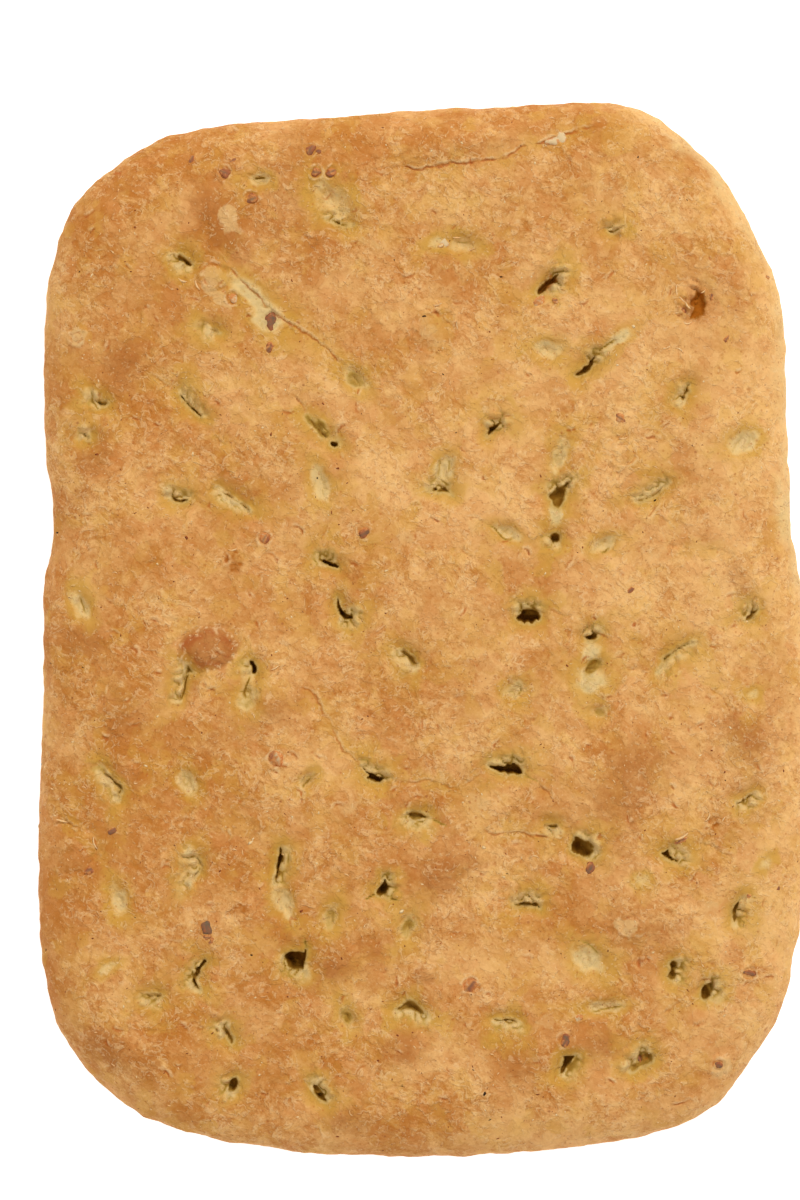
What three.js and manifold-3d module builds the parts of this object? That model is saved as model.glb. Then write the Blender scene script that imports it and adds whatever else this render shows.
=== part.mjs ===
// Multigrain schiacciata: a flat, rectangular loaf with soft corners, baked as one piece of dough.
// Its crust rolls over a bulging side, rises in browned swells and sinks at each docking mark.
// Docked holes and slits are cut into it, baked folds run across it, and whole grains stand in it.
// Millimetres, +Z up. The origin is the middle of the flat base, with the long side along Y.
import * as THREE from 'three';
import { mergeVertices } from 'three/addons/utils/BufferGeometryUtils.js';
import Module from 'manifold-3d';

// Sizes of the loaf
const RIM_HEIGHT = 8.5; // height of the side's widest line
const PLATEAU = 22; // mean height of the crust
const SHOULDER_WIDTH = 24; // how far in from the side the crust becomes level
const SHOULDER_ROUNDNESS = 2.4; // exponent of the shoulder's superellipse
const BASE_INSET = 5; // how far the base stays inside the widest line
const CRUST_COLUMNS = 38;
const CRUST_ROWS = 52;
const FIXED_BORDER = 2; // rows and columns at the grid's border that keep their places
const CRUST_INSET = 5; // where the crust's grid ends and the rolled side begins
const UPPER_SIDE_INSETS = [2.2, 0.6];
const LOWER_SIDE_TURNS = [0, 50, 90]; // degrees round the lower quarter of the side

// Relief
const RELIEF_FADE = 14; // swells and mounds die away this near to the side
const RISE_OF_BROWNED_SWELL = 1.1;
const DIMPLE_MARGIN = 3.2; // how far a docking mark's dimple reaches past its mouth
const DIMPLE_DEPTH = 1.8;
const CLOSED_MARK_DEPTH = 2.4;
const CLOSED_MARK_MARGIN = 1.6;
const HOLE_DEPTH_PER_WIDTH = 2.2;
const HOLE_DEPTH_MIN = 4;
const HOLE_DEPTH_MAX = 10;
const HOLE_SIDES = 8;
const SLIT_SIDES = 6;
const HOLE_FLOOR_SCALE = 0.55; // a hole's floor against its mouth
const FOLD_RADIUS = 0.75;
const FOLD_SECTION_SIDES = 5;
const GRAIN_THICKNESS = 0.55; // of its width
const GRAIN_STANDS = 0.2; // share of a grain's half thickness by which its middle is raised

// The loaf seen from above, at its widest line: [x, y], clockwise from the left end of the top side
const OUTLINE = [
  [-67, 133.5], [-28, 138], [20, 141], [45, 142], [58.5, 140], [70, 132], [80.5, 122], [88, 109],
  [96, 89], [98, 50], [99, 28], [103, 0], [104, -28], [102.5, -69], [96, -102.5], [87.5, -117],
  [76, -130], [58.5, -136.5], [31, -140.5], [-6.5, -142], [-40, -140], [-71.5, -133], [-87.5, -122],
  [-98, -108], [-103, -88], [-104, -58], [-102.5, -15], [-102.5, 10], [-100, 27.5], [-102, 48],
  [-102.5, 70], [-101, 93.5], [-95, 113], [-83.5, 124.5],
];
const OUTLINE_START = 0.975; // share of the way round at which the grid's first corner lies

// Docking marks: [x, y, length, width, turn in degrees]
const OPEN_HOLES = [
  [-64, 98.5, 4.5, 2, -40], [49.5, 106.5, 3, 1.5, 5], [33, 92.5, 7, 2.5, 38], [72.5, 87, 7, 4, 60],
  [-86.5, 60.5, 4, 2, 0], [-90.5, 51.5, 2.5, 1.2, -10], [-26, 51.5, 8, 3, -40], [18, 53.5, 5, 2.5, 50],
  [35.5, 37, 7.5, 4.5, 35], [34.5, 24.5, 2.8, 2.4, 0], [-21.5, 5, 5.5, 1.6, -50],
  [27.5, 4, 6.5, 3.5, 0], [44.5, -1.5, 4.5, 2, 12], [87.5, 4.5, 6, 2, 40], [-4.5, -7, 5.5, 2, -38],
  [-13, -39, 5, 2.5, -28], [23, -37, 8.5, 3, -8], [-1.5, -49.5, 5, 2.4, -6], [34, -52.5, 2.8, 1.3, -8],
  [42, -58, 8, 5.5, -35], [66, -59.5, 6, 2.4, -20], [-11.5, -68.5, 5, 3, 62], [27.5, -73, 7, 2.8, -8],
  [-34.5, -88, 6.5, 4.5, 0], [-72, -97.5, 4.5, 2.4, 5], [66.5, -90.5, 6, 3, 80],
  [75.5, -96, 5, 3.5, 50], [-4, -101.5, 7, 3.5, -12], [-53, -108, 6.5, 3, -52],
  [-51.5, -121.5, 5, 3.2, 60], [-28.5, -124, 6.5, 3, -62], [38, -116, 7.5, 2.8, 52],
  [57.5, -115.5, 8, 3.8, 45],
];
const SLITS = [
  [-22, 109.5, 7.5, 1.3, -14], [-56.5, 80, 4, 1.1, -15], [44.5, 71.5, 12, 2, 42],
  [69.5, 63.5, 6, 1.1, 62], [-62.5, 60.5, 9.5, 1.1, -50], [4.5, 38, 5.5, 1.6, -14],
  [61.5, 36.5, 11, 1.9, 25], [-65.5, 35, 5.5, 1.6, -10], [-51, 35.5, 10.5, 1.9, -38],
  [-25, 17.5, 5.5, 1.3, -25], [67, -7, 14, 2, 38], [-64, -15, 9.5, 1.9, 68], [-46, -11, 4.5, 1.3, 78],
  [-83, -41, 9, 1.6, -60], [85.5, -44.5, 5, 1.3, 35], [-60.5, -63, 7.5, 1.6, 72],
  [-39, -62.5, 10, 1.4, 80], [83.5, -74.5, 7, 1.9, 70], [-60, -90, 11.5, 2, 72],
  [22, -104, 6.5, 1.3, 0],
];
const CLOSED_MARKS = [
  [-44, 120, 5, 2, -5], [33, 74.5, 6.5, 3.7, 10], [85, 50, 8, 4.3, 25], [-18.5, 67, 8.5, 3.7, -42],
  [-27.5, 39, 9.5, 3.7, -72], [5.5, 43, 7, 4.3, 70], [48, 23, 5.5, 2.7, 30], [22, 26, 7.5, 2.7, -25],
  [-91.5, 6.5, 8, 3.2, -65], [45, -10, 5.5, 3.7, 40], [-47, -17.5, 7, 4.3, 85], [24, -16, 5.5, 3.7, 20],
  [46.5, -22, 3.7, 2.4, 10], [-63, -40.5, 6.5, 3.7, -60], [-31.5, -40, 5, 2, 50],
  [-81.5, -72, 7.5, 3.5, -80], [-25, -76.5, 6.5, 2.7, 70], [-4.5, -79, 7, 3.7, 80],
  [43.5, -88, 9, 6.5, -35], [-20.5, -103.5, 6, 3, -70], [48, -100.5, 9, 2, 5],
  [10, 102.5, 7.5, 3.7, -10], [-25, 114.5, 9.5, 4.8, -35], [36, 46.5, 9, 3.2, 72],
  [-37, -73, 7, 3.2, -80],
];

// Parts of the crust that stand proud and bake darker: [x, y, length, width, turn in degrees]
const BROWNED_SWELLS = [
  [-53, 108, 30, 14, -55], [-78, 72, 24, 18, 60], [-87, 47, 18, 12, 60], [-90, -1, 20, 14, 20],
  [-81, -21, 26, 18, 80], [-84, -111, 32, 14, -30], [57, -36, 34, 22, 20], [85, -27, 28, 14, -55],
  [85, 15, 22, 12, -60], [-24, -89, 20, 14, 10], [-6, -111, 24, 18, 60], [-20, -130, 28, 12, 0],
  [28, -114, 24, 18, 30], [8, -63, 26, 14, 20], [47, -110, 22, 12, 10], [57, -79, 26, 18, 0],
  [-40, -20, 24, 16, 0], [15, 130, 60, 9, 8],
];

// Gas bubbles under the skin: [x, y, length, width, turn in degrees, rise]
const BLISTERS = [
  [-57.5, -5, 16.5, 11.5, 10, 1.2], [0.5, -91.5, 6.5, 6, 0, 0.6], [-57, 94, 10, 6.5, -25, 0.7],
  [-93, 78, 5, 5, 0, 0.5], [3, 81, 12, 15, 20, 0.7], [53.5, 46.5, 9, 10, 0, 0.6],
  [-95, -58.5, 16, 13, 20, 1.4], [71, 88, 11, 10, 0, 0.8], [56, -79, 6, 5.5, 0, 0.4],
  [-51, 18, 6.5, 9, 0, 0.5],
];

// Baked folds and wrinkles, each a run of [x, y] along the crust
const FOLDS = [
  [[-10.5, 124], [-1, 123], [8, 124], [18, 125], [26, 128.5], [33, 131], [41, 133], [47, 135]],
  [[-54, 98], [-47.5, 92], [-40, 84.5], [-31.5, 79], [-25, 74], [-20.5, 69]],
  [[-75.5, 70.5], [-70.5, 66.5], [-64.5, 62.5]],
  [[-35.5, -14.5], [-29, -17], [-26.5, -22.5], [-23, -30], [-17.5, -36], [-14.5, -38]],
  [[-9.5, -40], [-3.5, -40.5], [4, -40.5], [8.5, -42.5], [14, -39.5], [18, -37.5]],
  [[13.5, -51.5], [19, -54.5], [25.5, -54], [32.5, -55.5], [38.5, -57.5]],
  [[72.5, -11], [76.5, -15.5], [81, -20], [85, -23.5]],
  [[70.5, -56.5], [76.5, -57.5], [81, -59.5], [84, -62]],
  [[61.5, 22.5], [70.5, 22], [76.5, 21.5], [82, 19.5], [85, 16.5]],
  [[-94, -52], [-89.5, -54], [-87.5, -59], [-88, -63.5]],
];

// Whole grains caught in the crust: [x, y, length, width, turn in degrees]
const GRAINS = [
  [-40.5, 82, 5.2, 3.2, -80], [-51, 88.5, 3.4, 2.2, -40], [5.2, 103.3, 2.6, 2, -50],
  [34.5, 130.8, 4.2, 2.4, 10], [-58, -79, 4, 2.6, -75], [-46, 114.8, 3.2, 2.4, 20],
  [-53.3, 121.8, 3.2, 2.4, -30], [-28.8, 121.8, 2.8, 2.4, 0], [-24.8, 121.8, 2.8, 2.4, 30],
  [-30.4, 128, 3, 2.6, 60], [30.6, 87.6, 3.2, 2.6, 40], [44.3, -63.2, 4, 2.8, 60],
  [57.5, -114.6, 3, 2.2, 30], [37.6, -109, 3.4, 2.6, 60], [78.6, -116.2, 3.4, 2.4, -30],
  [86.6, -91.4, 3.2, 2.2, -15], [-88.9, -63.9, 3.2, 2.4, 40], [-42.4, 24.5, 3.4, 2.8, 60],
  [-15.7, 26, 3.2, 2.8, 30], [-39.4, -33.8, 4.6, 3.4, -60], [12.2, -94.6, 4.8, 3.2, 50],
  [41, -103.2, 3.8, 2.8, 40], [52, 56.3, 3, 2.2, -30], [-41.2, 75.1, 2.8, 2.2, 60],
];

const DEGREE = Math.PI / 180;
const wasm = await Module();
wasm.setup();

function smoothstep(value) {
  const t = Math.min(Math.max(value, 0), 1);
  return t * t * (3 - 2 * t);
}

// Outline

const outlineCurve = new THREE.CatmullRomCurve3(
  OUTLINE.map(([x, y]) => new THREE.Vector3(x, y, 0)), true,
);
const RING_COUNT = 2 * (CRUST_COLUMNS + CRUST_ROWS);

// The outline moved inwards, at a height, as RING_COUNT even steps clockwise from the first corner.
function ring(inset, heightOf) {
  return Array.from({ length: RING_COUNT }, (_, k) => {
    const share = (OUTLINE_START + k / RING_COUNT) % 1;
    const tangent = outlineCurve.getTangentAt(share);
    const point = outlineCurve.getPointAt(share);
    const x = point.x + tangent.y * inset;
    const y = point.y - tangent.x * inset;
    return new THREE.Vector3(x, y, heightOf(x, y));
  });
}

const edge = ring(0, () => RIM_HEIGHT);

// How far a point lies inside the widest line.
function insetAt(x, y) {
  const point = new THREE.Vector3(x, y, RIM_HEIGHT);
  const near = new THREE.Vector3();
  const span = new THREE.Line3();
  let least = Infinity;
  edge.forEach((start, k) => {
    span.set(start, edge[(k + 1) % RING_COUNT]).closestPointToPoint(point, true, near);
    least = Math.min(least, near.distanceTo(point));
  });
  return least;
}

// Crust

// Distance from the middle of an ellipse at [x, y, length, width, turn], as a share of its radius.
function ellipseShare(px, py, [x, y, length, width, turn], margin = 0) {
  const cos = Math.cos(turn * DEGREE);
  const sin = Math.sin(turn * DEGREE);
  const along = (px - x) * cos + (py - y) * sin;
  const across = (py - y) * cos - (px - x) * sin;
  return Math.hypot(along / (length / 2 + margin), across / (width / 2 + margin));
}

// A smooth bump of height 1 that has almost died away at 1.5 radii.
function bump(share) {
  return Math.exp(-2 * share * share);
}

function rollingSwell(x, y) {
  return 0.7 * Math.sin(x / 15 + 0.7) * Math.cos(y / 19 - 0.4)
    + 0.6 * Math.sin(x / 27 - y / 31 + 1.9)
    + 0.3 * Math.cos(x / 9 + y / 12);
}

function shoulderHeight(inset) {
  const share = Math.min(inset / SHOULDER_WIDTH, 1);
  const rise = (1 - (1 - share) ** SHOULDER_ROUNDNESS) ** (1 / SHOULDER_ROUNDNESS);
  return RIM_HEIGHT + (PLATEAU - RIM_HEIGHT) * rise;
}

function crustHeight(x, y) {
  const inset = insetAt(x, y);
  let relief = rollingSwell(x, y);
  for (const swell of BROWNED_SWELLS) relief += RISE_OF_BROWNED_SWELL * bump(ellipseShare(x, y, swell));
  for (const blister of BLISTERS) relief += blister[5] * bump(ellipseShare(x, y, blister) ** 1.5);
  for (const mark of [...OPEN_HOLES, ...SLITS]) {
    relief -= DIMPLE_DEPTH * bump(ellipseShare(x, y, mark, DIMPLE_MARGIN));
  }
  for (const mark of CLOSED_MARKS) {
    relief -= CLOSED_MARK_DEPTH * bump(ellipseShare(x, y, mark, CLOSED_MARK_MARGIN));
  }
  return shoulderHeight(inset) + relief * smoothstep(inset / RELIEF_FADE);
}

// Body of the loaf

// The crust inside one ring, as rows of points blended between the ring's four sides.
function crustGrid(border) {
  const [nx, ny] = [CRUST_COLUMNS, CRUST_ROWS];
  const top = (i) => border[i % RING_COUNT];
  const right = (j) => border[(nx + j) % RING_COUNT];
  const bottom = (i) => border[(2 * nx + ny - i) % RING_COUNT];
  const left = (j) => border[(RING_COUNT - j) % RING_COUNT];
  const rows = [];
  for (let j = 0; j <= ny; j++) {
    const v = j / ny;
    const row = [];
    for (let i = 0; i <= nx; i++) {
      const u = i / nx;
      const point = new THREE.Vector3()
        .addScaledVector(top(i), 1 - v).addScaledVector(bottom(i), v)
        .addScaledVector(left(j), 1 - u).addScaledVector(right(j), u)
        .addScaledVector(top(0), -(1 - u) * (1 - v)).addScaledVector(top(nx), -u * (1 - v))
        .addScaledVector(bottom(0), -(1 - u) * v).addScaledVector(bottom(nx), -u * v);
      row.push(point);
    }
    rows.push(row);
  }
  return rows;
}

// Draws the grid's nearest inner point to the middle of each closed mark and blister.
function seatMarks(rows) {
  const inner = rows.slice(FIXED_BORDER, -FIXED_BORDER)
    .flatMap((row) => row.slice(FIXED_BORDER, -FIXED_BORDER));
  for (const [x, y] of [...CLOSED_MARKS, ...BLISTERS]) {
    const flatDistance = (point) => Math.hypot(point.x - x, point.y - y);
    const nearest = inner.reduce((best, point) => {
      return flatDistance(point) < flatDistance(best) ? point : best;
    });
    nearest.set(x, y, nearest.z);
  }
}

function loafGeometry() {
  const crustBorder = ring(CRUST_INSET, crustHeight);
  const rows = crustGrid(crustBorder);
  seatMarks(rows);
  rows.forEach((row) => row.forEach((point) => point.setZ(crustHeight(point.x, point.y))));

  const rings = [crustBorder];
  for (const inset of UPPER_SIDE_INSETS) rings.push(ring(inset, crustHeight));
  for (const turn of LOWER_SIDE_TURNS) {
    const inset = BASE_INSET * (1 - Math.cos(turn * DEGREE));
    const height = turn === 90 ? 0 : RIM_HEIGHT * (1 - Math.sin(turn * DEGREE));
    rings.push(ring(inset, () => height));
  }

  const corners = [];
  const addTriangle = (a, b, c) => corners.push(a.x, a.y, a.z, b.x, b.y, b.z, c.x, c.y, c.z);
  for (let j = 0; j < CRUST_ROWS; j++) {
    for (let i = 0; i < CRUST_COLUMNS; i++) {
      const [a, b, c, d] = [rows[j][i], rows[j][i + 1], rows[j + 1][i + 1], rows[j + 1][i]];
      const leaning = (i < CRUST_COLUMNS / 2) === (j < CRUST_ROWS / 2);
      if (leaning) {
        addTriangle(a, c, b);
        addTriangle(a, d, c);
      } else {
        addTriangle(a, d, b);
        addTriangle(b, d, c);
      }
    }
  }
  for (let level = 1; level < rings.length; level++) {
    const [upper, lower] = [rings[level - 1], rings[level]];
    for (let k = 0; k < RING_COUNT; k++) {
      const next = (k + 1) % RING_COUNT;
      addTriangle(upper[k], upper[next], lower[next]);
      addTriangle(upper[k], lower[next], lower[k]);
    }
  }
  const base = rings.at(-1);
  const flat = base.map((point) => new THREE.Vector2(point.x, point.y));
  for (const [a, b, c] of THREE.ShapeUtils.triangulateShape(flat, [])) {
    addTriangle(base[a], base[c], base[b]);
  }

  const geometry = new THREE.BufferGeometry();
  geometry.setAttribute('position', new THREE.Float32BufferAttribute(corners, 3));
  return geometry;
}

// Cuts and additions

// A tapered, uneven plug that opens a docking mark. The wobble gives each mouth its own torn edge.
function holeCutter(mark, sides) {
  const [x, y, length, width, turn] = mark;
  const depth = Math.min(Math.max(width * HOLE_DEPTH_PER_WIDTH, HOLE_DEPTH_MIN), HOLE_DEPTH_MAX);
  const clearance = 3;
  const geometry = new THREE.CylinderGeometry(1, HOLE_FLOOR_SCALE, depth + clearance, sides);
  geometry.rotateX(Math.PI / 2);
  const position = geometry.getAttribute('position');
  for (let k = 0; k < position.count; k++) {
    const angle = Math.atan2(position.getY(k), position.getX(k));
    const wobble = 1 + 0.14 * Math.sin(3 * angle + x) + 0.1 * Math.cos(2 * angle + y);
    position.setX(k, position.getX(k) * wobble * length / 2);
    position.setY(k, position.getY(k) * wobble * width / 2);
  }
  geometry.rotateZ(turn * DEGREE);
  return geometry.translate(x, y, crustHeight(x, y) + (clearance - depth) / 2);
}

// A thin round cutter along a run of points, half sunk in the crust.
function foldCutter(run) {
  const path = new THREE.CatmullRomCurve3(run.map(([x, y]) => new THREE.Vector3(x, y, crustHeight(x, y))));
  const section = new THREE.Shape(
    new THREE.EllipseCurve(0, 0, FOLD_RADIUS, FOLD_RADIUS).getPoints(FOLD_SECTION_SIDES).slice(0, -1),
  );
  return new THREE.ExtrudeGeometry(section, {
    steps: run.length - 1, bevelEnabled: false, extrudePath: path,
  });
}

function grainGeometry([x, y, length, width, turn]) {
  const halfThickness = width * GRAIN_THICKNESS / 2;
  return new THREE.IcosahedronGeometry(1)
    .scale(length / 2, width / 2, halfThickness)
    .rotateZ(turn * DEGREE)
    .translate(x, y, crustHeight(x, y) + halfThickness * GRAIN_STANDS);
}

function toSolid(geometry) {
  const bare = geometry.clone();
  bare.deleteAttribute('normal');
  bare.deleteAttribute('uv');
  const merged = mergeVertices(bare, 1e-4);
  return new wasm.Manifold(new wasm.Mesh({
    numProp: 3,
    vertProperties: new Float32Array(merged.getAttribute('position').array),
    triVerts: new Uint32Array(merged.index.array),
  }));
}

function toGeometry(solid) {
  const { vertProperties, triVerts } = solid.getMesh();
  const geometry = new THREE.BufferGeometry();
  geometry.setAttribute('position', new THREE.BufferAttribute(vertProperties, 3));
  geometry.setIndex(new THREE.BufferAttribute(triVerts, 1));
  geometry.computeVertexNormals();
  return geometry;
}

function schiacciataGeometry() {
  let solid = toSolid(loafGeometry());
  for (const run of FOLDS) solid = solid.subtract(toSolid(foldCutter(run)));
  for (const mark of OPEN_HOLES) solid = solid.subtract(toSolid(holeCutter(mark, HOLE_SIDES)));
  for (const mark of SLITS) solid = solid.subtract(toSolid(holeCutter(mark, SLIT_SIDES)));
  for (const grain of GRAINS) solid = solid.add(toSolid(grainGeometry(grain)));
  return toGeometry(solid);
}

const crustMaterial = new THREE.MeshStandardMaterial({ color: 0xd99d57, roughness: 0.85, metalness: 0 });

const loaf = new THREE.Mesh(schiacciataGeometry(), crustMaterial);
loaf.name = 'schiacciata';

const part = new THREE.Group();
part.name = 'multigrain_schiacciata';
part.add(loaf);

export default part;
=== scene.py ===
"""Multigrain schiacciata: a flat loaf with a docked, browned crust and whole grains caught in it.

The loaf is one closed mesh, from the same named sizes as the frame's solid: a fine grid over the
crust, a rolled side and a flat base. Swells, wrinkled skin, creases, docking marks and blisters each
add to its relief, and to the stains stored on it, which tell its material where the dough is pale,
browned or dark. Grains, bran, flour, charred specks and torn skin are pieces laid on that mesh.

Lengths are millimetres here. MM turns them into metres where a mesh is made.
"""

import math
from itertools import product
from types import SimpleNamespace

import bpy
import numpy as np
from bpy.props import FloatProperty, FloatVectorProperty, IntProperty, PointerProperty
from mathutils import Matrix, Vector
from mathutils.bvhtree import BVHTree


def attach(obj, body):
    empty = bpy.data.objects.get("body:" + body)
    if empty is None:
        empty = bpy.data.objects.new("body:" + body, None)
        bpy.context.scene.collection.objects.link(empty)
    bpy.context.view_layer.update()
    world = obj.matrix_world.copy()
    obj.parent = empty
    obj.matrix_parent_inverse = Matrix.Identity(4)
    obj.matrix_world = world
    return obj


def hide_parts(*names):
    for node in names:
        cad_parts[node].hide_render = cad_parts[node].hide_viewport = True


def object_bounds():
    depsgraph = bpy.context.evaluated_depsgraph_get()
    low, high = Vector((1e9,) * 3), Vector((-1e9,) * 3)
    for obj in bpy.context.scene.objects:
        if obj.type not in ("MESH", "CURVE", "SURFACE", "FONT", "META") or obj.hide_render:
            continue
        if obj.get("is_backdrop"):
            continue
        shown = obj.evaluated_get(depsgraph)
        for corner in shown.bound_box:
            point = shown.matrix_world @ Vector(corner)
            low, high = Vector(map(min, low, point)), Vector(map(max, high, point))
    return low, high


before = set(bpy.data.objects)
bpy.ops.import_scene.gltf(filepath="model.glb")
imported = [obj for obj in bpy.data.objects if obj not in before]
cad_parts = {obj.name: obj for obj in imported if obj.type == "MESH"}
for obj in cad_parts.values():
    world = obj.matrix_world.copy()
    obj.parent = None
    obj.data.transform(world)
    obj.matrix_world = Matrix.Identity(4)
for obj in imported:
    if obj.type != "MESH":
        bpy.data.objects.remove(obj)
FRAME_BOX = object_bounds()

bl_info = {
    "name": "Multigrain Schiacciata",
    "version": (1, 0, 0),
    "blender": (4, 5, 0),
    "location": "View3D > Sidebar > Schiacciata",
    "description": "Builds a docked flat loaf with its grains, bran and flour on a pale floor",
    "category": "Object",
}

MM = 0.001
NODE = "schiacciata"
LOAF = "baked_loaf"
BODY = "root"

# The loaf seen from above, at its widest line: [x, y], clockwise from the left end of the top side
OUTLINE = [
    [-67, 133.5], [-28, 138], [20, 141], [45, 142], [58.5, 140], [70, 132], [80.5, 122], [88, 109],
    [96, 89], [98, 50], [99, 28], [103, 0], [104, -28], [102.5, -69], [96, -102.5], [87.5, -117],
    [76, -130], [58.5, -136.5], [31, -140.5], [-6.5, -142], [-40, -140], [-71.5, -133], [-87.5, -122],
    [-98, -108], [-103, -88], [-104, -58], [-102.5, -15], [-102.5, 10], [-100, 27.5], [-102, 48],
    [-102.5, 70], [-101, 93.5], [-95, 113], [-83.5, 124.5],
]
OUTLINE_START = 0.975  # share of the way round at which the grid's first corner lies

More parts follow.
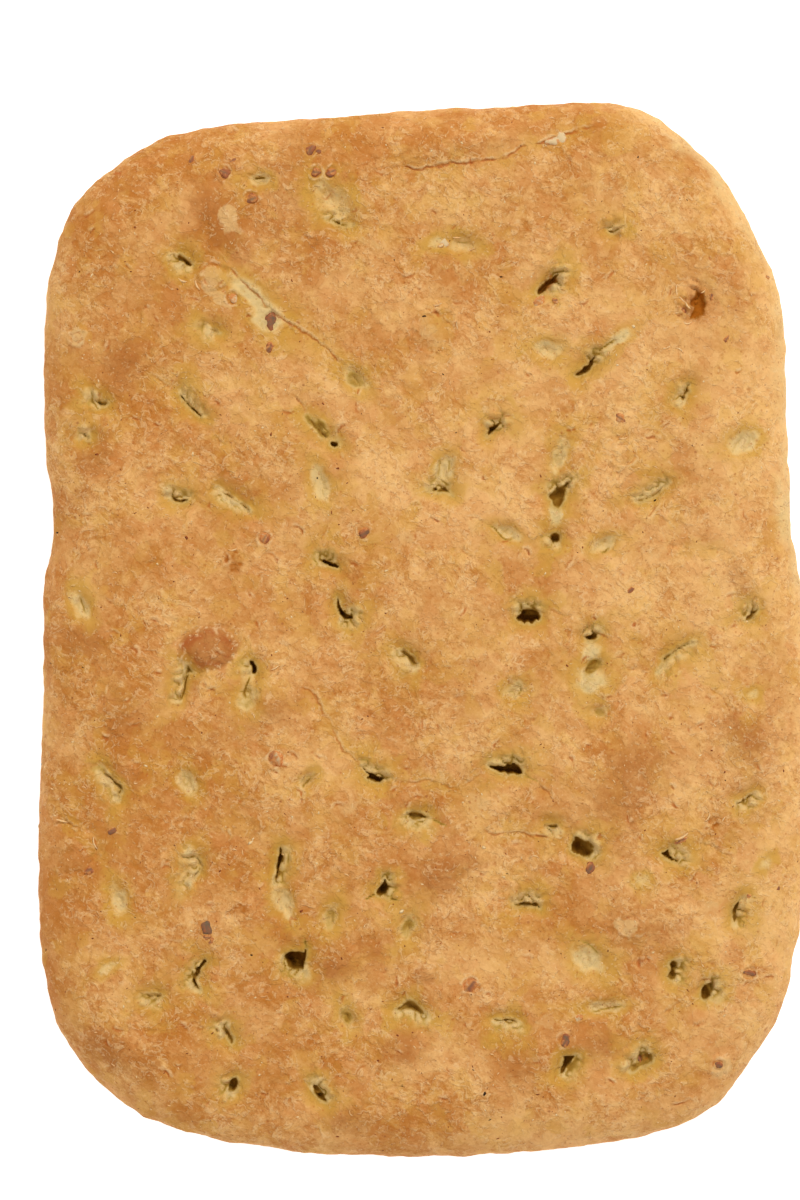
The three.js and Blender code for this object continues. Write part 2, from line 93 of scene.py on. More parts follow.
# Docking marks: [x, y, length, width, turn, side of the pale lip, shade, mouth]. Turn and side are
# degrees from +X. The shade is how deep the floor is and how dark its painted shade is, and the mouth
# runs clockwise round it, measured from x, y.
OPEN_HOLES = [
    [-64, 98.5, 4.5, 2, -40, 225, 0.6, [[-1.9, 1.3], [-1.1, 1.6], [0.1, 0.8], [1.2, -0.1], [2.1, -1.2],
     [1.6, -1.7], [0.5, -1.2], [-1.6, 0.3]]],
    [49.5, 106.5, 3, 1.5, 5, 60, 0.6, [[-0.4, 0], [0.4, 0.1], [1.3, 0], [1.2, -0.5], [0.4, -0.7],
     [-0.3, -0.4]]],
    [33, 92.5, 7, 2.5, 38, 0, 0.8, [[-2.9, -2.9], [-2.8, -1.7], [-1.6, -0.5], [-0.4, 0.9], [0.7, 1.3],
     [1.7, 2.1], [2.9, 2.4], [2.1, 0.8], [2.3, 0], [1.1, -0.3], [0.1, -0.9], [-0.8, -2.1], [-1.9, -2.9]]],
    [-86.5, 60.5, 4, 2, 0, 180, 0.45, [[-1.6, 1.1], [-0.4, 0.8], [0.9, 0.5], [2, 0.3], [1.6, -0.5],
     [0.5, -0.8], [-0.5, -0.5], [-1.2, 0.1]]],
    [-90.5, 51.5, 2.5, 1.2, -10, 135, 0.25, [[0.3, 0.3], [1.1, 0.3], [1.2, -0.5], [0.5, -0.7]]],
    [-26, 51.5, 8, 3, -40, 130, 0.95, [[0.9, -1.6], [1.9, -1.4], [3, -2], [2.4, -2.6], [1.3, -2.4]]],
    [18, 53.5, 5, 2.5, 50, 60, 0.8, [[-1.3, -2.1], [-1.1, -0.9], [-0.8, 0], [-0.9, 0.8], [0, 0.9],
     [0.9, 1.3], [2.4, 2], [2, 0.9], [1.2, 0.1], [0.4, -0.5], [-0.4, -1.3]]],
    [35.5, 37, 7.5, 4.5, 35, 100, 0.62, [[-2.4, -1.5], [-1.1, 0], [-0.5, 0.9], [0.5, 1.3], [1.6, 1.7],
     [2.4, 2.5], [3.2, 2.3], [2.4, 0.8], [2.1, -0.3], [1.9, -1.6], [1.3, -3.1], [0.5, -4.3], [-0.5, -4.4],
     [-1.3, -3.6], [-1.6, -2.4]]],
    [34.5, 24.5, 2.8, 2.4, 0, 230, 0.72, [[-0.7, 0.8], [0.1, 1.3], [1.1, 1.2], [1.7, 0.4], [1.6, -0.5],
     [0.8, -1.2], [-0.3, -1.1], [-0.8, -0.3]]],
    [-21.5, 5, 5.5, 1.6, -50, 320, 1, [[-1.6, 3.6], [-1.2, 2.3], [-0.8, 0.9], [0, -0.1], [1.2, -0.9],
     [2.7, -1.3], [2.4, -1.9], [0, -2.1], [-0.5, -1.6], [-1.1, -0.5], [-1.5, 0.9], [-1.7, 2.3]]],
    [27.5, 4, 6.5, 3.5, 0, 90, 1, [[-2.9, -0.8], [-1.7, 0.4], [-1.5, 1.3], [-0.5, 1.6], [0.4, 1.3],
     [1.3, 1.6], [2.3, 1.2], [3.1, 0.4], [3.3, -0.5], [3.1, -1.5], [2.3, -1.2], [1.7, -2], [0.9, -2.3],
     [0.1, -1.7], [-0.8, -2.3], [-1.6, -1.6], [-2.5, -1.5]]],
    [44.5, -1.5, 4.5, 2, 12, 90, 0.75, [[-1.6, -0.4], [-0.9, 0.1], [0, 0.4], [1.1, 0.9], [1.7, 0],
     [1.3, -0.8], [0.4, -1.2], [-0.7, -1.1]]],
    [87.5, 4.5, 6, 2, 40, 135, 0.55, [[-1.7, -1.6], [-1.3, -0.8], [-0.5, -0.4], [0, 0.5], [0.9, 0.8],
     [1.7, 1.1], [1.3, 0.1], [0.5, -0.5], [0, -1.5], [-0.8, -2], [-1.5, -2.1]]],
    [-4.5, -7, 5.5, 2, -38, 230, 0.45, [[-1.9, 1.3], [-0.9, 1.6], [0, 1.1], [0.9, 0.5], [1.7, -0.1],
     [2.1, -1.2], [2.8, -2], [2.1, -2.5], [1.2, -2.4], [0.4, -1.6], [-0.3, -0.5], [-1.2, 0.4]]],
    [-13, -39, 5, 2.5, -28, 60, 1, [[-3.6, 2.8], [-2.3, 1.3], [-1.3, 0.9], [-0.4, 0.5], [0.3, 0],
     [2.3, -0.5], [1.6, -1.1], [1.3, -1.7], [0.5, -1.6], [-0.3, -1.3], [-1.2, -0.9], [-2.3, -0.4],
     [-1.7, 0.3], [-2.5, 1.1]]],
    [23, -37, 8.5, 3, -8, 90, 1, [[-5.6, 0.5], [-3.1, 0.8], [-1.7, 0.5], [-0.8, 1.3], [0, 1.1], [0.9, 1.6],
     [1.7, 0.9], [2.5, 0.3], [3.1, -0.9], [2.8, -1.6], [1.6, -1.5], [0.5, -1.2], [-0.5, -1.5], [-1.6, -0.9],
     [-2.5, -1.2], [-3.7, -0.5]]],
    [-1.5, -49.5, 5, 2.4, -6, 250, 0.6, [[-2.8, 0.5], [-2.1, 0.9], [-1.1, 0.9], [0, 0.7], [1.1, 0.4],
     [1.7, -0.1], [2.8, -0.7], [1.3, -0.9], [0.1, -1.2], [-0.9, -1.5], [-1.9, -1.1], [-2.7, -0.3]]],
    [34, -52.5, 2.8, 1.3, -8, 270, 0.6, [[-1.2, 0.4], [-0.3, 0.4], [0.8, 0.4], [1.6, 0.3], [1.3, -0.4],
     [0.1, -0.7], [-0.7, -0.3]]],
    [42, -58, 8, 5.5, -35, 20, 0.8, [[-2.9, 0], [-2.5, 1.2], [-1.9, 1.9], [-1.7, 3.1], [-0.8, 2.7],
     [0.1, 2.1], [1.2, 1.6], [2.4, 1.1], [2.9, 0.1], [2.8, -1.2], [1.9, -2.3], [0.8, -2.4], [-0.3, -2.1],
     [-1.3, -1.7], [-2.3, -1.2]]],
    [66, -59.5, 6, 2.4, -20, 20, 0.85, [[-2.8, -0.1], [-1.9, 0.3], [-0.9, 0.9], [-0.7, 0.1], [-0.5, -0.7],
     [0.3, -1.3], [1.3, -1.7], [2.4, -1.9], [1.3, -2.3], [0.1, -2.1], [-0.9, -1.6], [-1.9, -0.9]]],
    [-11.5, -68.5, 5, 3, 62, 10, 1, [[0.9, 2.4], [1.3, 1.3], [1.9, 0], [1.6, -1.3], [0.5, -2.1],
     [-0.7, -2.3], [-1.3, -1.7], [-0.8, -0.7], [0, 0.3], [0.5, 1.2]]],
    [27.5, -73, 7, 2.8, -8, 90, 0.6, [[-3.6, -0.5], [-2.3, -0.1], [-0.9, 0.5], [0.3, 0.7], [1.2, 0],
     [2.4, 0.5], [3.1, -0.4], [3.6, -1.5], [2.4, -0.9], [1.1, -0.8], [-0.3, -0.5], [-1.6, -0.7],
     [-2.8, -0.9]]],
    [-34.5, -88, 6.5, 4.5, 0, 250, 1, [[-2.7, 1.3], [-1.3, 2], [0, 2.1], [1.3, 2], [2.5, 2], [3.1, 3.2],
     [2.9, 1.6], [2.8, 0.3], [2.5, -1.2], [2.1, -2.5], [1.3, -2.3], [0.3, -2.8], [-0.8, -2.4], [-1.7, -1.7],
     [-2.3, -0.3]]],
    [-72, -97.5, 4.5, 2.4, 5, 240, 0.35, [[-2, 0], [-1.1, 0.4], [0.1, 0.5], [1.3, 0.4], [2.1, -0.1],
     [1.5, -0.7], [0.3, -0.9], [-0.9, -0.8]]],
    [66.5, -90.5, 6, 3, 80, 0, 0.6, [[-1.3, 1.3], [-0.7, 2.1], [0.5, 2.3], [1.1, 1.6], [0.9, 0.3],
     [0.4, -0.5], [0.8, -1.6], [0.3, -2.5], [-0.8, -2.8], [-1.6, -2], [-1.2, -0.9], [-0.8, 0]]],
    [75.5, -96, 5, 3.5, 50, 20, 0.7, [[-1.7, -1.1], [-1.5, 0.4], [-0.5, 1.6], [0.5, 2.1], [1.5, 1.7],
     [1.6, 0.5], [1.1, -0.8], [0.3, -2.1], [-0.8, -2.5], [-1.6, -2]]],
    [-4, -101.5, 7, 3.5, -12, 270, 0.5, [[-3.6, 0.3], [-2.5, 0.9], [-1.3, 2], [0, 2.7], [1.3, 2.4],
     [2.4, 1.3], [4.4, -1.2], [3.1, -1.1], [2, -0.7], [0.9, -0.2], [-0.3, 0.3], [-1.3, 0.1], [-2.4, -0.2]]],
    [-53, -108, 6.5, 3, -52, 150, 0.48, [[-1.3, 2], [-0.4, 1.9], [0.5, 1.3], [1.2, 0.4], [1.9, -0.8],
     [2.1, -2.1], [1.5, -2.7], [0.8, -1.6], [0.1, -0.3], [-0.7, 0.9]]],
    [-51.5, -121.5, 5, 3.2, 60, 200, 0.68, [[-0.9, -0.4], [-0.5, 0.8], [0.3, 1.7], [1.2, 1.9], [1.7, 0.9],
     [1.6, -0.4], [0.9, -1.6], [-0.1, -2], [-0.9, -1.6]]],
    [-28.5, -124, 6.5, 3, -62, 60, 0.72, [[-1.1, 2.5], [-0.3, 2.7], [0.5, 1.6], [1.5, 0.5], [2, -0.7],
     [2.3, -2], [1.3, -1.7], [0.3, -1.2], [-0.5, -0.3], [-1.1, 0.9]]],
    [38, -116, 7.5, 2.8, 52, 330, 0.85, [[-0.8, 2.3], [0.3, 2.5], [2, 2.4], [1.6, 1.3], [0.8, 0.4],
     [0, -0.5], [-0.7, -1.6], [-1.6, -2.3], [-1.7, -1.3], [-1.3, -0.1], [-0.9, 0.9]]],
    [57.5, -115.5, 8, 3.8, 45, 135, 0.45, [[-2.8, -1.9], [-2.7, -0.9], [-1.9, -0.3], [-1.2, 0.5],
     [-0.9, 1.9], [0, 2.9], [1.2, 3.3], [2.4, 2.8], [3.5, 1.9], [3.3, 0.5], [2.4, -0.3], [1.2, -0.8],
     [0, -1.2], [-1.1, -2.1], [-2.1, -2.5]]],
]
SLITS = [
    [-22, 109.5, 7.5, 1.3, -14, 110, 0.6, [[-3.3, 0], [-1.9, 0], [-0.5, -0.7], [0.8, -1.3], [3.1, -1.5],
     [1.1, -1.9], [-0.5, -1.5], [-2, -0.8]]],
    [-56.5, 80, 4, 1.1, -15, 200, 0.4, [[-1.3, 0.4], [0, 0.3], [1.3, -0.3], [2.1, -0.9], [1.1, -0.8],
     [-0.3, -0.3]]],
    [44.5, 71.5, 12, 2, 42, 60, 0.85, [[-4.4, -3.5], [-2.8, -2.3], [-1.9, -1.3], [-0.8, -0.8], [-0.5, 0.3],
     [0.4, 0.9], [1.3, 1.7], [0.8, 0.5], [0.5, -0.4], [0, -1.5], [-0.7, -2.4], [-1.9, -3.1], [-3.2, -3.6]]],
    [69.5, 63.5, 6, 1.1, 62, 180, 0.6, [[0.7, 2.1], [1.2, 1.9], [0.7, 0.9], [1.1, 0.3], [0.3, -0.4],
     [0, -1.2], [-0.5, -2.4], [-1.2, -2], [-0.7, -1.1], [-0.3, -0.1], [0.1, 0.5], [0.3, 1.3]]],
    [-62.5, 60.5, 9.5, 1.1, -50, 45, 0.7, [[-2.8, 2.7], [-1.7, 1.5], [-0.5, 0], [0.5, -0.9], [1.5, -1.6],
     [3.1, -3.6], [1.7, -2.9], [0.8, -2], [-0.3, -0.9], [-1.3, 0.4], [-2.3, 1.5]]],
    [4.5, 38, 5.5, 1.6, -14, 90, 0.65, [[-3.6, -0.7], [-2.3, -0.4], [-1.3, 0.3], [-0.9, -0.4], [0.1, -0.1],
     [1.2, 0.1], [1.6, -0.5], [3.1, -2.3], [1.6, -1.3], [0.3, -1.1], [-0.9, -1.1], [-2.3, -0.9]]],
    [61.5, 36.5, 11, 1.9, 25, 115, 0.45, [[-4.9, -1.9], [-3.9, -1.5], [-2.7, -1.3], [-1.3, -0.8], [0, -0.1],
     [1.3, 1.1], [2.8, 2.3], [1.7, 0.8], [0.4, -0.5], [-1.1, -1.3], [-2.5, -1.9], [-4, -2.4]]],
    [-65.5, 35, 5.5, 1.6, -10, 90, 0.7, [[-2.1, 0.9], [-1.3, 0.5], [-0.5, -0.1], [0.5, -0.3], [1.6, 0],
     [2.4, -0.3], [1.3, -0.8], [0, -0.9], [-1.1, -0.7], [-1.7, 0]]],
    [-51, 35.5, 10.5, 1.9, -38, 230, 0.45, [[-4.1, 2.3], [-2.7, 1.3], [-1.3, 0.8], [-0.1, 0], [1.3, -1.1],
     [2.7, -1.9], [4, -2.8], [4.5, -3.7], [3.1, -3.1], [1.6, -1.9], [0.1, -0.9], [-1.2, 0], [-2.7, 0.7]]],
    [-25, 17.5, 5.5, 1.3, -25, 120, 1, [[-2.7, 1.2], [-1.6, 1.3], [-0.4, 0.8], [0.8, 0.3], [1.7, -0.1],
     [2.1, -1.2], [1.1, -0.8], [0, -0.5], [-1.1, 0], [-2, 0.5]]],
    [67, -7, 14, 2, 38, 310, 0.5, [[-4.7, -4.5], [-3.9, -3.1], [-2.9, -1.6], [-3.2, -0.5], [-1.9, 0.3],
     [-0.5, 1.3], [1.1, 2.5], [3.1, 3.3], [4.8, 3.7], [3.1, 2.8], [1.3, 1.9], [-0.3, 0.8], [-1.6, -0.3],
     [-2.5, -1.2], [-2.9, -2.4], [-3.9, -3.9]]],
    [-64, -15, 9.5, 1.9, 68, 170, 0.5, [[0.9, 5.6], [1.9, 4.3], [2.4, 3.6], [1.3, 3.6], [0.5, 2.5],
     [0, 1.3], [-0.3, 0], [0, -1.3], [-0.8, -2.7], [-1.1, -3.7], [-1.6, -3.5], [-1.1, -2.3], [-0.5, -1.1],
     [-0.8, 0.3], [-0.5, 1.6], [0.1, 3.1]]],
    [-46, -11, 4.5, 1.3, 78, 200, 1, [[-0.7, 2.5], [0, 2.7], [0.8, 1.9], [1.2, 0.8], [1.1, -0.3],
     [0.3, -0.7], [0.1, 0.3], [-0.1, 1.3]]],
    [-83, -41, 9, 1.6, -60, 200, 0.5, [[-2.7, 3.9], [-1.3, 2.5], [0, 1.2], [0.9, 0.4], [2.4, -0.5],
     [2.3, -2], [1.5, -3.3], [1.7, -4.4], [1.1, -3.7], [1.3, -2.4], [1.7, -1.2], [0.5, -0.4], [-0.4, 0.7],
     [-1.6, 2]]],
    [85.5, -44.5, 5, 1.3, 35, 300, 0.6, [[-2, -1.5], [-0.9, -1.2], [0.3, -0.4], [1.3, 0.4], [2.3, 0.8],
     [1.7, 0], [0.8, -0.8], [-0.4, -1.6], [-1.6, -1.9]]],
    [-60.5, -63, 7.5, 1.6, 72, 180, 0.45, [[-2.1, 3.5], [-0.9, 2.9], [0.3, 2.1], [1.1, 0.8], [0.9, -0.8],
     [0.1, -2], [-1.1, -2.8], [-2.1, -4], [-1.3, -2.5], [-0.3, -1.6], [0.4, -0.5], [0.5, 0.7], [-0.1, 1.7],
     [-1.2, 2.5]]],
    [-39, -62.5, 10, 1.4, 80, 340, 1, [[0.5, 4.4], [1.1, 4.1], [0.9, 2.9], [1.3, 1.7], [0.8, 0.5],
     [0.4, -0.8], [0.1, -2.1], [-0.7, -4.8], [-0.7, -3.5], [-0.4, -2.1], [-0.5, -0.8], [-0.1, 0.5],
     [0, 1.9], [0.4, 3.1]]],
    [83.5, -74.5, 7, 1.9, 70, 340, 0.65, [[0.4, 2.5], [1.2, 3.1], [0.7, 1.9], [0.4, 0.7], [0, -0.3],
     [-0.3, -1.3], [-0.1, -2.4], [-0.8, -3.7], [-1.2, -2.8], [-1.1, -1.6], [-1.3, -0.4], [-0.8, 0.7],
     [-0.1, 1.6]]],
    [-60, -90, 11.5, 2, 72, 180, 0.85, [[1.3, 2.1], [1.9, 1.6], [1.1, 0.5], [0.3, -0.3], [0, -1.3],
     [-0.5, -2.3], [-1.1, -3.1], [-0.8, -4], [0.4, -6.1], [-0.5, -5.4], [-1.5, -4.5], [-2, -3.5],
     [-1.6, -2.4], [-1.2, -1.3], [-0.8, -0.3], [0.1, 0.5]]],
    [22, -104, 6.5, 1.3, 0, 270, 0.55, [[-3.5, 0.1], [-2.3, 0.4], [-1.1, 0.1], [0.1, 0.4], [1.3, 0.3],
     [2.4, -0.3], [3.1, -0.9], [2, -0.7], [0.8, -0.3], [-0.4, -0.3], [-1.6, -0.3], [-2.7, -0.4]]],
]
# Blister burst open, in the same form
BURST_BLISTER = [72.5, 87, 8, 5, 70, 150, 0.4, [
    [0.1, 3.7], [1, 3.1], [1.9, 2.9], [2.2, 1.3], [2.7, 0], [2.4, -1.5], [1.9, -2.9], [0.3, -4], [-1, -4.2],
    [-1.9, -4], [-1.5, -2.9], [-0.8, -1.1], [-1.9, -0.4], [-1.7, 0.7], [-0.8, 1.8], [-0.4, 2.9]]]

OPEN_MARKS = [*OPEN_HOLES, *SLITS, BURST_BLISTER]

# Marks that have closed up: [x, y, length, width, turn, shade]
CLOSED_MARKS = [
    [-44, 120, 5, 2, -5, 0.2], [33, 74.5, 6.5, 3.7, 10, 0.1], [85, 50, 8, 4.3, 25, 0.05],
    [-18.5, 67, 8.5, 3.7, -42, 0.35], [-27.5, 39, 9.5, 3.7, -72, 0.1], [5.5, 43, 7, 4.3, 70, 0.1],
    [48, 23, 5.5, 2.7, 30, 0.1], [22, 26, 7.5, 2.7, -25, 0.1], [-91.5, 6.5, 8, 3.2, -65, 0.1],
    [45, -10, 5.5, 3.7, 40, 0.55], [-47, -17.5, 7, 4.3, 85, 0.2], [24, -16, 5.5, 3.7, 20, 0.2],
    [46.5, -22, 3.7, 2.4, 10, 0.35], [-63, -40.5, 6.5, 3.7, -60, 0.15], [-31.5, -40, 5, 2, 50, 0.25],
    [-81.5, -72, 7.5, 3.5, -80, 0.05], [-25, -76.5, 6.5, 2.7, 70, 0.35], [-4.5, -79, 7, 3.7, 80, 0.35],
    [43.5, -88, 9, 6.5, -35, 0.05], [-20.5, -103.5, 6, 3, -70, 0.4], [48, -100.5, 9, 2, 5, 0.1],
    [10, 102.5, 7.5, 3.7, -10, 0], [-25, 114.5, 9.5, 4.8, -35, 0], [36, 46.5, 9, 3.2, 72, 0.15],
    [-37, -73, 7, 3.2, -80, 0.1],
]
# The solid leaves these out: they are only pale dents in the skin
FAINT_MARKS = [
    [87.5, -17, 3, 1.6, 30, 0], [57.5, -66.5, 3, 2, 0, 0], [91, -62, 3.5, 2, 40, 0],
    [-84.5, -90, 5, 1.6, 40, 0], [-27.6, 53.4, 11, 3.2, -42, 0.45], [51, 77, 9, 2.4, 38, 0.05],
    [44.7, -5.5, 3.5, 5, 0, 0.05], [35, 30.5, 3, 5, 0, 0.1], [-39, -70.5, 6, 3.4, -80, 0],
    [-46.5, 90, 12, 4, -40, 0.1], [3.5, 103, 4, 2, 20, 0], [-41.5, 83.5, 10, 7.5, -50, 0.1],
    [-24, 114.5, 12, 7, -40, 0], [68.5, -59.5, 5, 5, 0, 0], [44.5, -13, 7, 7, 0, 0.1],
]
# Thin lines where the dough has closed, grooves darkened with painted shade: [how dark, run of [x, y]]
CLOSED_LINES = [
    [0.7, [[-62.2, -10.8], [-63.6, -13.5], [-64.2, -16.5], [-65.2, -19.5]]],
    [0.6, [[-45.6, 120.4], [-43.9, 120.6], [-41.9, 120.4]]],
    [0.2, [[82.3, 46.3], [82.2, 47.6], [83.4, 49.7], [85.4, 51.3]]],
    [0.35, [[-20.2, 69], [-18.8, 67.6], [-17.4, 65.4], [-16.1, 63.9]]],
    [0.3, [[4.2, 46.6], [3.9, 43], [3.6, 39.9]]], [0.35, [[6.9, 45.9], [6.2, 41.3]]],
    [0.5, [[46.7, 20.6], [48.4, 20.9], [49.4, 22.3]]],
    [0.5, [[16.1, 27.9], [18.4, 27.3], [20.7, 24.6], [22.7, 23.9], [24.4, 25.3]]],
    [0.35, [[-92.4, 9.4], [-91.3, 6.5], [-90.4, 4.1]]], [0.5, [[42.7, -12.2], [43.8, -9.8], [46.3, -8]]],
    [0.55, [[-46, -11.8], [-47.2, -14.6], [-47.8, -16.6], [-47.6, -19.2]]],
    [0.35, [[-49.9, -16.2], [-47.6, -16.4], [-45.3, -15.9]]],
    [0.4, [[26, -15.2], [25.6, -16.4], [24.7, -17.7]]],
    [0.45, [[-32.8, -42.4], [-31.4, -40.6], [-29.8, -39.1]]],
    [0.35, [[40.6, -82.4], [42.6, -83.1], [45.2, -85.1], [47.2, -87.1]]],
    [0.5, [[-20.8, -102.2], [-20.4, -103.4], [-19.9, -104.5]]],
    [0.4, [[43.1, -101.9], [46.4, -101.6], [51.1, -100.6], [54.4, -100.2]]],
    [0.3, [[7.8, 103.7], [9.7, 103.4], [12.4, 103.5]]], [0.25, [[37.4, 49.8], [35.7, 47.1], [34.1, 44.1]]],
    [0.5, [[45.5, 73.5], [48.5, 75.8], [51.5, 77.3]]], [0.6, [[-31.5, 57], [-28.5, 53.6], [-25.3, 50.6]]],
    [0.45, [[-29.5, 57], [-27, 54.2], [-24.6, 51.6]]], [0.6, [[-16, -72.2], [-14, -70.8], [-12.8, -70.3]]],
    [0.5, [[-10.6, -70.6], [-8.5, -71.6], [-6.5, -72.2]]],
    [0.6, [[-31.9, -85.5], [-31.6, -83.6], [-32.2, -81.8]]],
    [0.5, [[1.6, -50.4], [4, -51.4], [6.5, -52.6]]], [0.3, [[25.8, -38.4], [29, -39.8], [31.5, -41]]],
]

# Parts of the crust that stand proud and bake darker: [x, y, length, width, turn in degrees]
BROWNED_SWELLS = [
    [-53, 108, 30, 14, -55], [-78, 72, 24, 18, 60], [-87, 47, 18, 12, 60], [-90, -1, 20, 14, 20],
    [-81, -21, 26, 18, 80], [-84, -111, 32, 14, -30], [57, -36, 34, 22, 20], [85, -27, 28, 14, -55],
    [85, 15, 22, 12, -60], [-24, -89, 20, 14, 10], [-6, -111, 24, 18, 60], [-20, -130, 28, 12, 0],
    [28, -114, 24, 18, 30], [8, -63, 26, 14, 20], [47, -110, 22, 12, 10], [57, -79, 26, 18, 0],
    [52, -46, 26, 34, 0], [-40, -20, 24, 16, 0], [15, 130, 60, 9, 8],
]

# Patches baked darker without rising: [x, y, radius, strength]
BROWNED_PATCHES = [
    [-58, 110.5, 8, 0.5], [-51.5, 103.5, 6, 0.4], [-81, 72, 7, 0.6], [-81, 91.5, 3, 0.4],
    [-95.5, 74, 4, 0.4], [-86, 50.5, 8, 0.4], [-94, 34, 9, 0.4], [-90, -2.5, 9, 0.3], [-79.5, -24, 9, 0.35],
    [-93, -69, 8, 0.3], [-84.5, -111, 9, 0.5], [-72, -115, 7, 0.4], [-61.5, -117.5, 5, 0.3],
    [53, -34, 3, 0.45], [59.5, -34.5, 7, 0.3], [87, -26.5, 4.5, 0.55], [85, 10, 4, 0.4], [-25, -90, 7, 0.4],
    [-13, -86, 5, 0.4], [-5.5, -112.5, 8, 0.3], [-21, -130, 8, 0.25], [23, -114.5, 8, 0.35],
    [4, -64, 9, 0.5], [3, -76, 16, 0.3], [48, -109, 8, 0.35], [58, -104, 3, 0.3], [67, -80, 8, 0.3],
    [82.5, -85, 6, 0.4], [-56, -31, 6, 0.4], [-12, -26.5, 6, 0.3], [-80, 118, 9, 0.35], [-96, 55, 8, 0.3],
    [-58, -52, 24, 0.2], [-30, 128, 26, 0.15], [-30, 96, 14, 0.15], [-70, -82, 14, 0.25],
    [-30, -84, 20, 0.2], [-40, -52, 22, 0.15], [60, -60, 22, 0.15], [-60, 124, 12, 0.15],
    [-36, 114, 30, 0.3], [89, -28, 16, 0.5], [72, 130, 18, 0.45], [84, -46, 18, 0.3], [8, -56, 22, 0.25],
]

# Areas baked paler than the rest, or darker where the strength is below 0: [x, y, radius, strength]
PALER_PATCHES = [
    [-43, 33, 17, 0.1], [-33, 9, 16, 0.1], [33, 37, 18, 0.06], [62, 36, 15, 0.06], [29, 13, 14, 0.08],
    [11, 108, 18, 0.09], [37, 112, 15, 0.1], [-65, 82, 14, 0.12], [10, 60, 16, 0.07], [30, 57, 14, 0.06],
    [-66, -12, 14, 0.08], [-86, -14, 14, 0.09], [-75, 20, 13, 0.08], [79, -10, 14, 0.09],
    [80, -101, 15, 0.08], [34, 129, 13, 0.12], [2, 130, 14, 0.08], [-32, -45, 15, -0.06],
    [8, -84, 14, -0.06],
]

# Gas bubbles under the skin: [x, y, length, width, turn in degrees, rise, redness]
BLISTERS = [
    [-57.5, -5, 16.5, 11.5, 10, 1.2, 1], [0.5, -91.5, 6.5, 6, 0, 0.6, 0.45],
    [-57, 94, 10, 6.5, -25, 0.7, 0], [-93, 78, 5, 5, 0, 0.5, 0], [3, 81, 12, 15, 20, 0.7, 0],
    [53.5, 46.5, 9, 10, 0, 0.6, 0], [-95, -58.5, 16, 13, 20, 1.4, 0], [71, 88, 11, 10, 0, 0.8, 0.15],
    [56, -79, 6, 5.5, 0, 0.4, 0], [-51, 18, 6.5, 9, 0, 0.5, 0.1],
]

# Baked folds: runs of [x, y] along the crust. The solid has the same.
FOLDS = [
    [[-10.5, 124], [-1, 123], [8, 124], [18, 125], [26, 128.5], [33, 131], [41, 133], [47, 135]],
    [[-54, 98], [-47.5, 92], [-40, 84.5], [-31.5, 79], [-25, 74], [-20.5, 69]],
    [[-75.5, 70.5], [-70.5, 66.5], [-64.5, 62.5]],
    [[-35.5, -14.5], [-29, -17], [-26.5, -22.5], [-23, -30], [-17.5, -36], [-14.5, -38]],
    [[-9.5, -40], [-3.5, -40.5], [4, -40.5], [8.5, -42.5], [14, -39.5], [18, -37.5]],
    [[13.5, -51.5], [19, -54.5], [25.5, -54], [32.5, -55.5], [38.5, -57.5]],
    [[72.5, -11], [76.5, -15.5], [81, -20], [85, -23.5]],
    [[70.5, -56.5], [76.5, -57.5], [81, -59.5], [84, -62]],
    [[61.5, 22.5], [70.5, 22], [76.5, 21.5], [82, 19.5], [85, 16.5]],
    [[-94, -52], [-89.5, -54], [-87.5, -59], [-88, -63.5]],
]
# How deep each of those folds is, as a share of the crease depth
FOLD_STRENGTHS = [1.25, 1, 0.7, 0.85, 0.8, 0.9, 0.6, 0.7, 0.5, 0.8]

# Finer creases of the skin: runs of [x, y]
CREASES = [
    [[-27.5, 119.5], [-24.5, 117], [-22, 114.5], [-20.5, 113]], [[-58, 54], [-54.5, 50.5], [-52.5, 47]],
    [[-36.5, 64.5], [-32.5, 59], [-30, 55]], [[-14.5, 59.5], [-10.5, 59.5], [-8.5, 58]],
    [[-5, 33.5], [0, 33.5]], [[-27.5, 33], [-25.5, 27.5], [-27.5, 22], [-24.5, 17]],
    [[-24, 15.5], [-23.5, 9.5], [-22, 6]], [[-19, 20.5], [-14.5, 23], [-10.5, 21.5]],
    [[8.5, 23.5], [12.5, 18.5]], [[15.5, 19], [17.5, 16], [23, 16]],
    [[-3, 86], [3, 84.5], [7.5, 80.5], [8, 76.5]], [[9.5, 118], [12, 116], [14, 118.5]],
    [[51.5, -10.5], [57.5, -11], [61, -11.5]], [[53, -3], [60, -3.5]],
    [[83, -20], [87, -23.5], [89, -25.5]], [[84.5, -62], [83.5, -64], [81, -65]], [[95, -81.5], [92, -87]],
    [[-61.5, -103.5], [-58.5, -106.5], [-56, -106.5]], [[21, -48.5], [23.5, -52.5]],
    [[29.5, -40], [33, -44]], [[27.5, -39.5], [32, -42.5], [36, -47]],
    [[-37, 65.5], [-31.5, 58.5], [-26, 51.5]], [[30.5, 6], [36, 4.5], [42, 3]],
    [[60.5, -104], [64.5, -101.5], [69, -98.5], [73, -95.5]], [[-100, -51.5], [-94, -52], [-89.5, -54]],
    [[47.5, -11], [52, -10], [57.5, -10.5], [61.5, -11]],
    [[46.7, 42.5], [45.9, 46.5], [48, 50.5], [52, 51.3], [57.3, 49.2]],
]

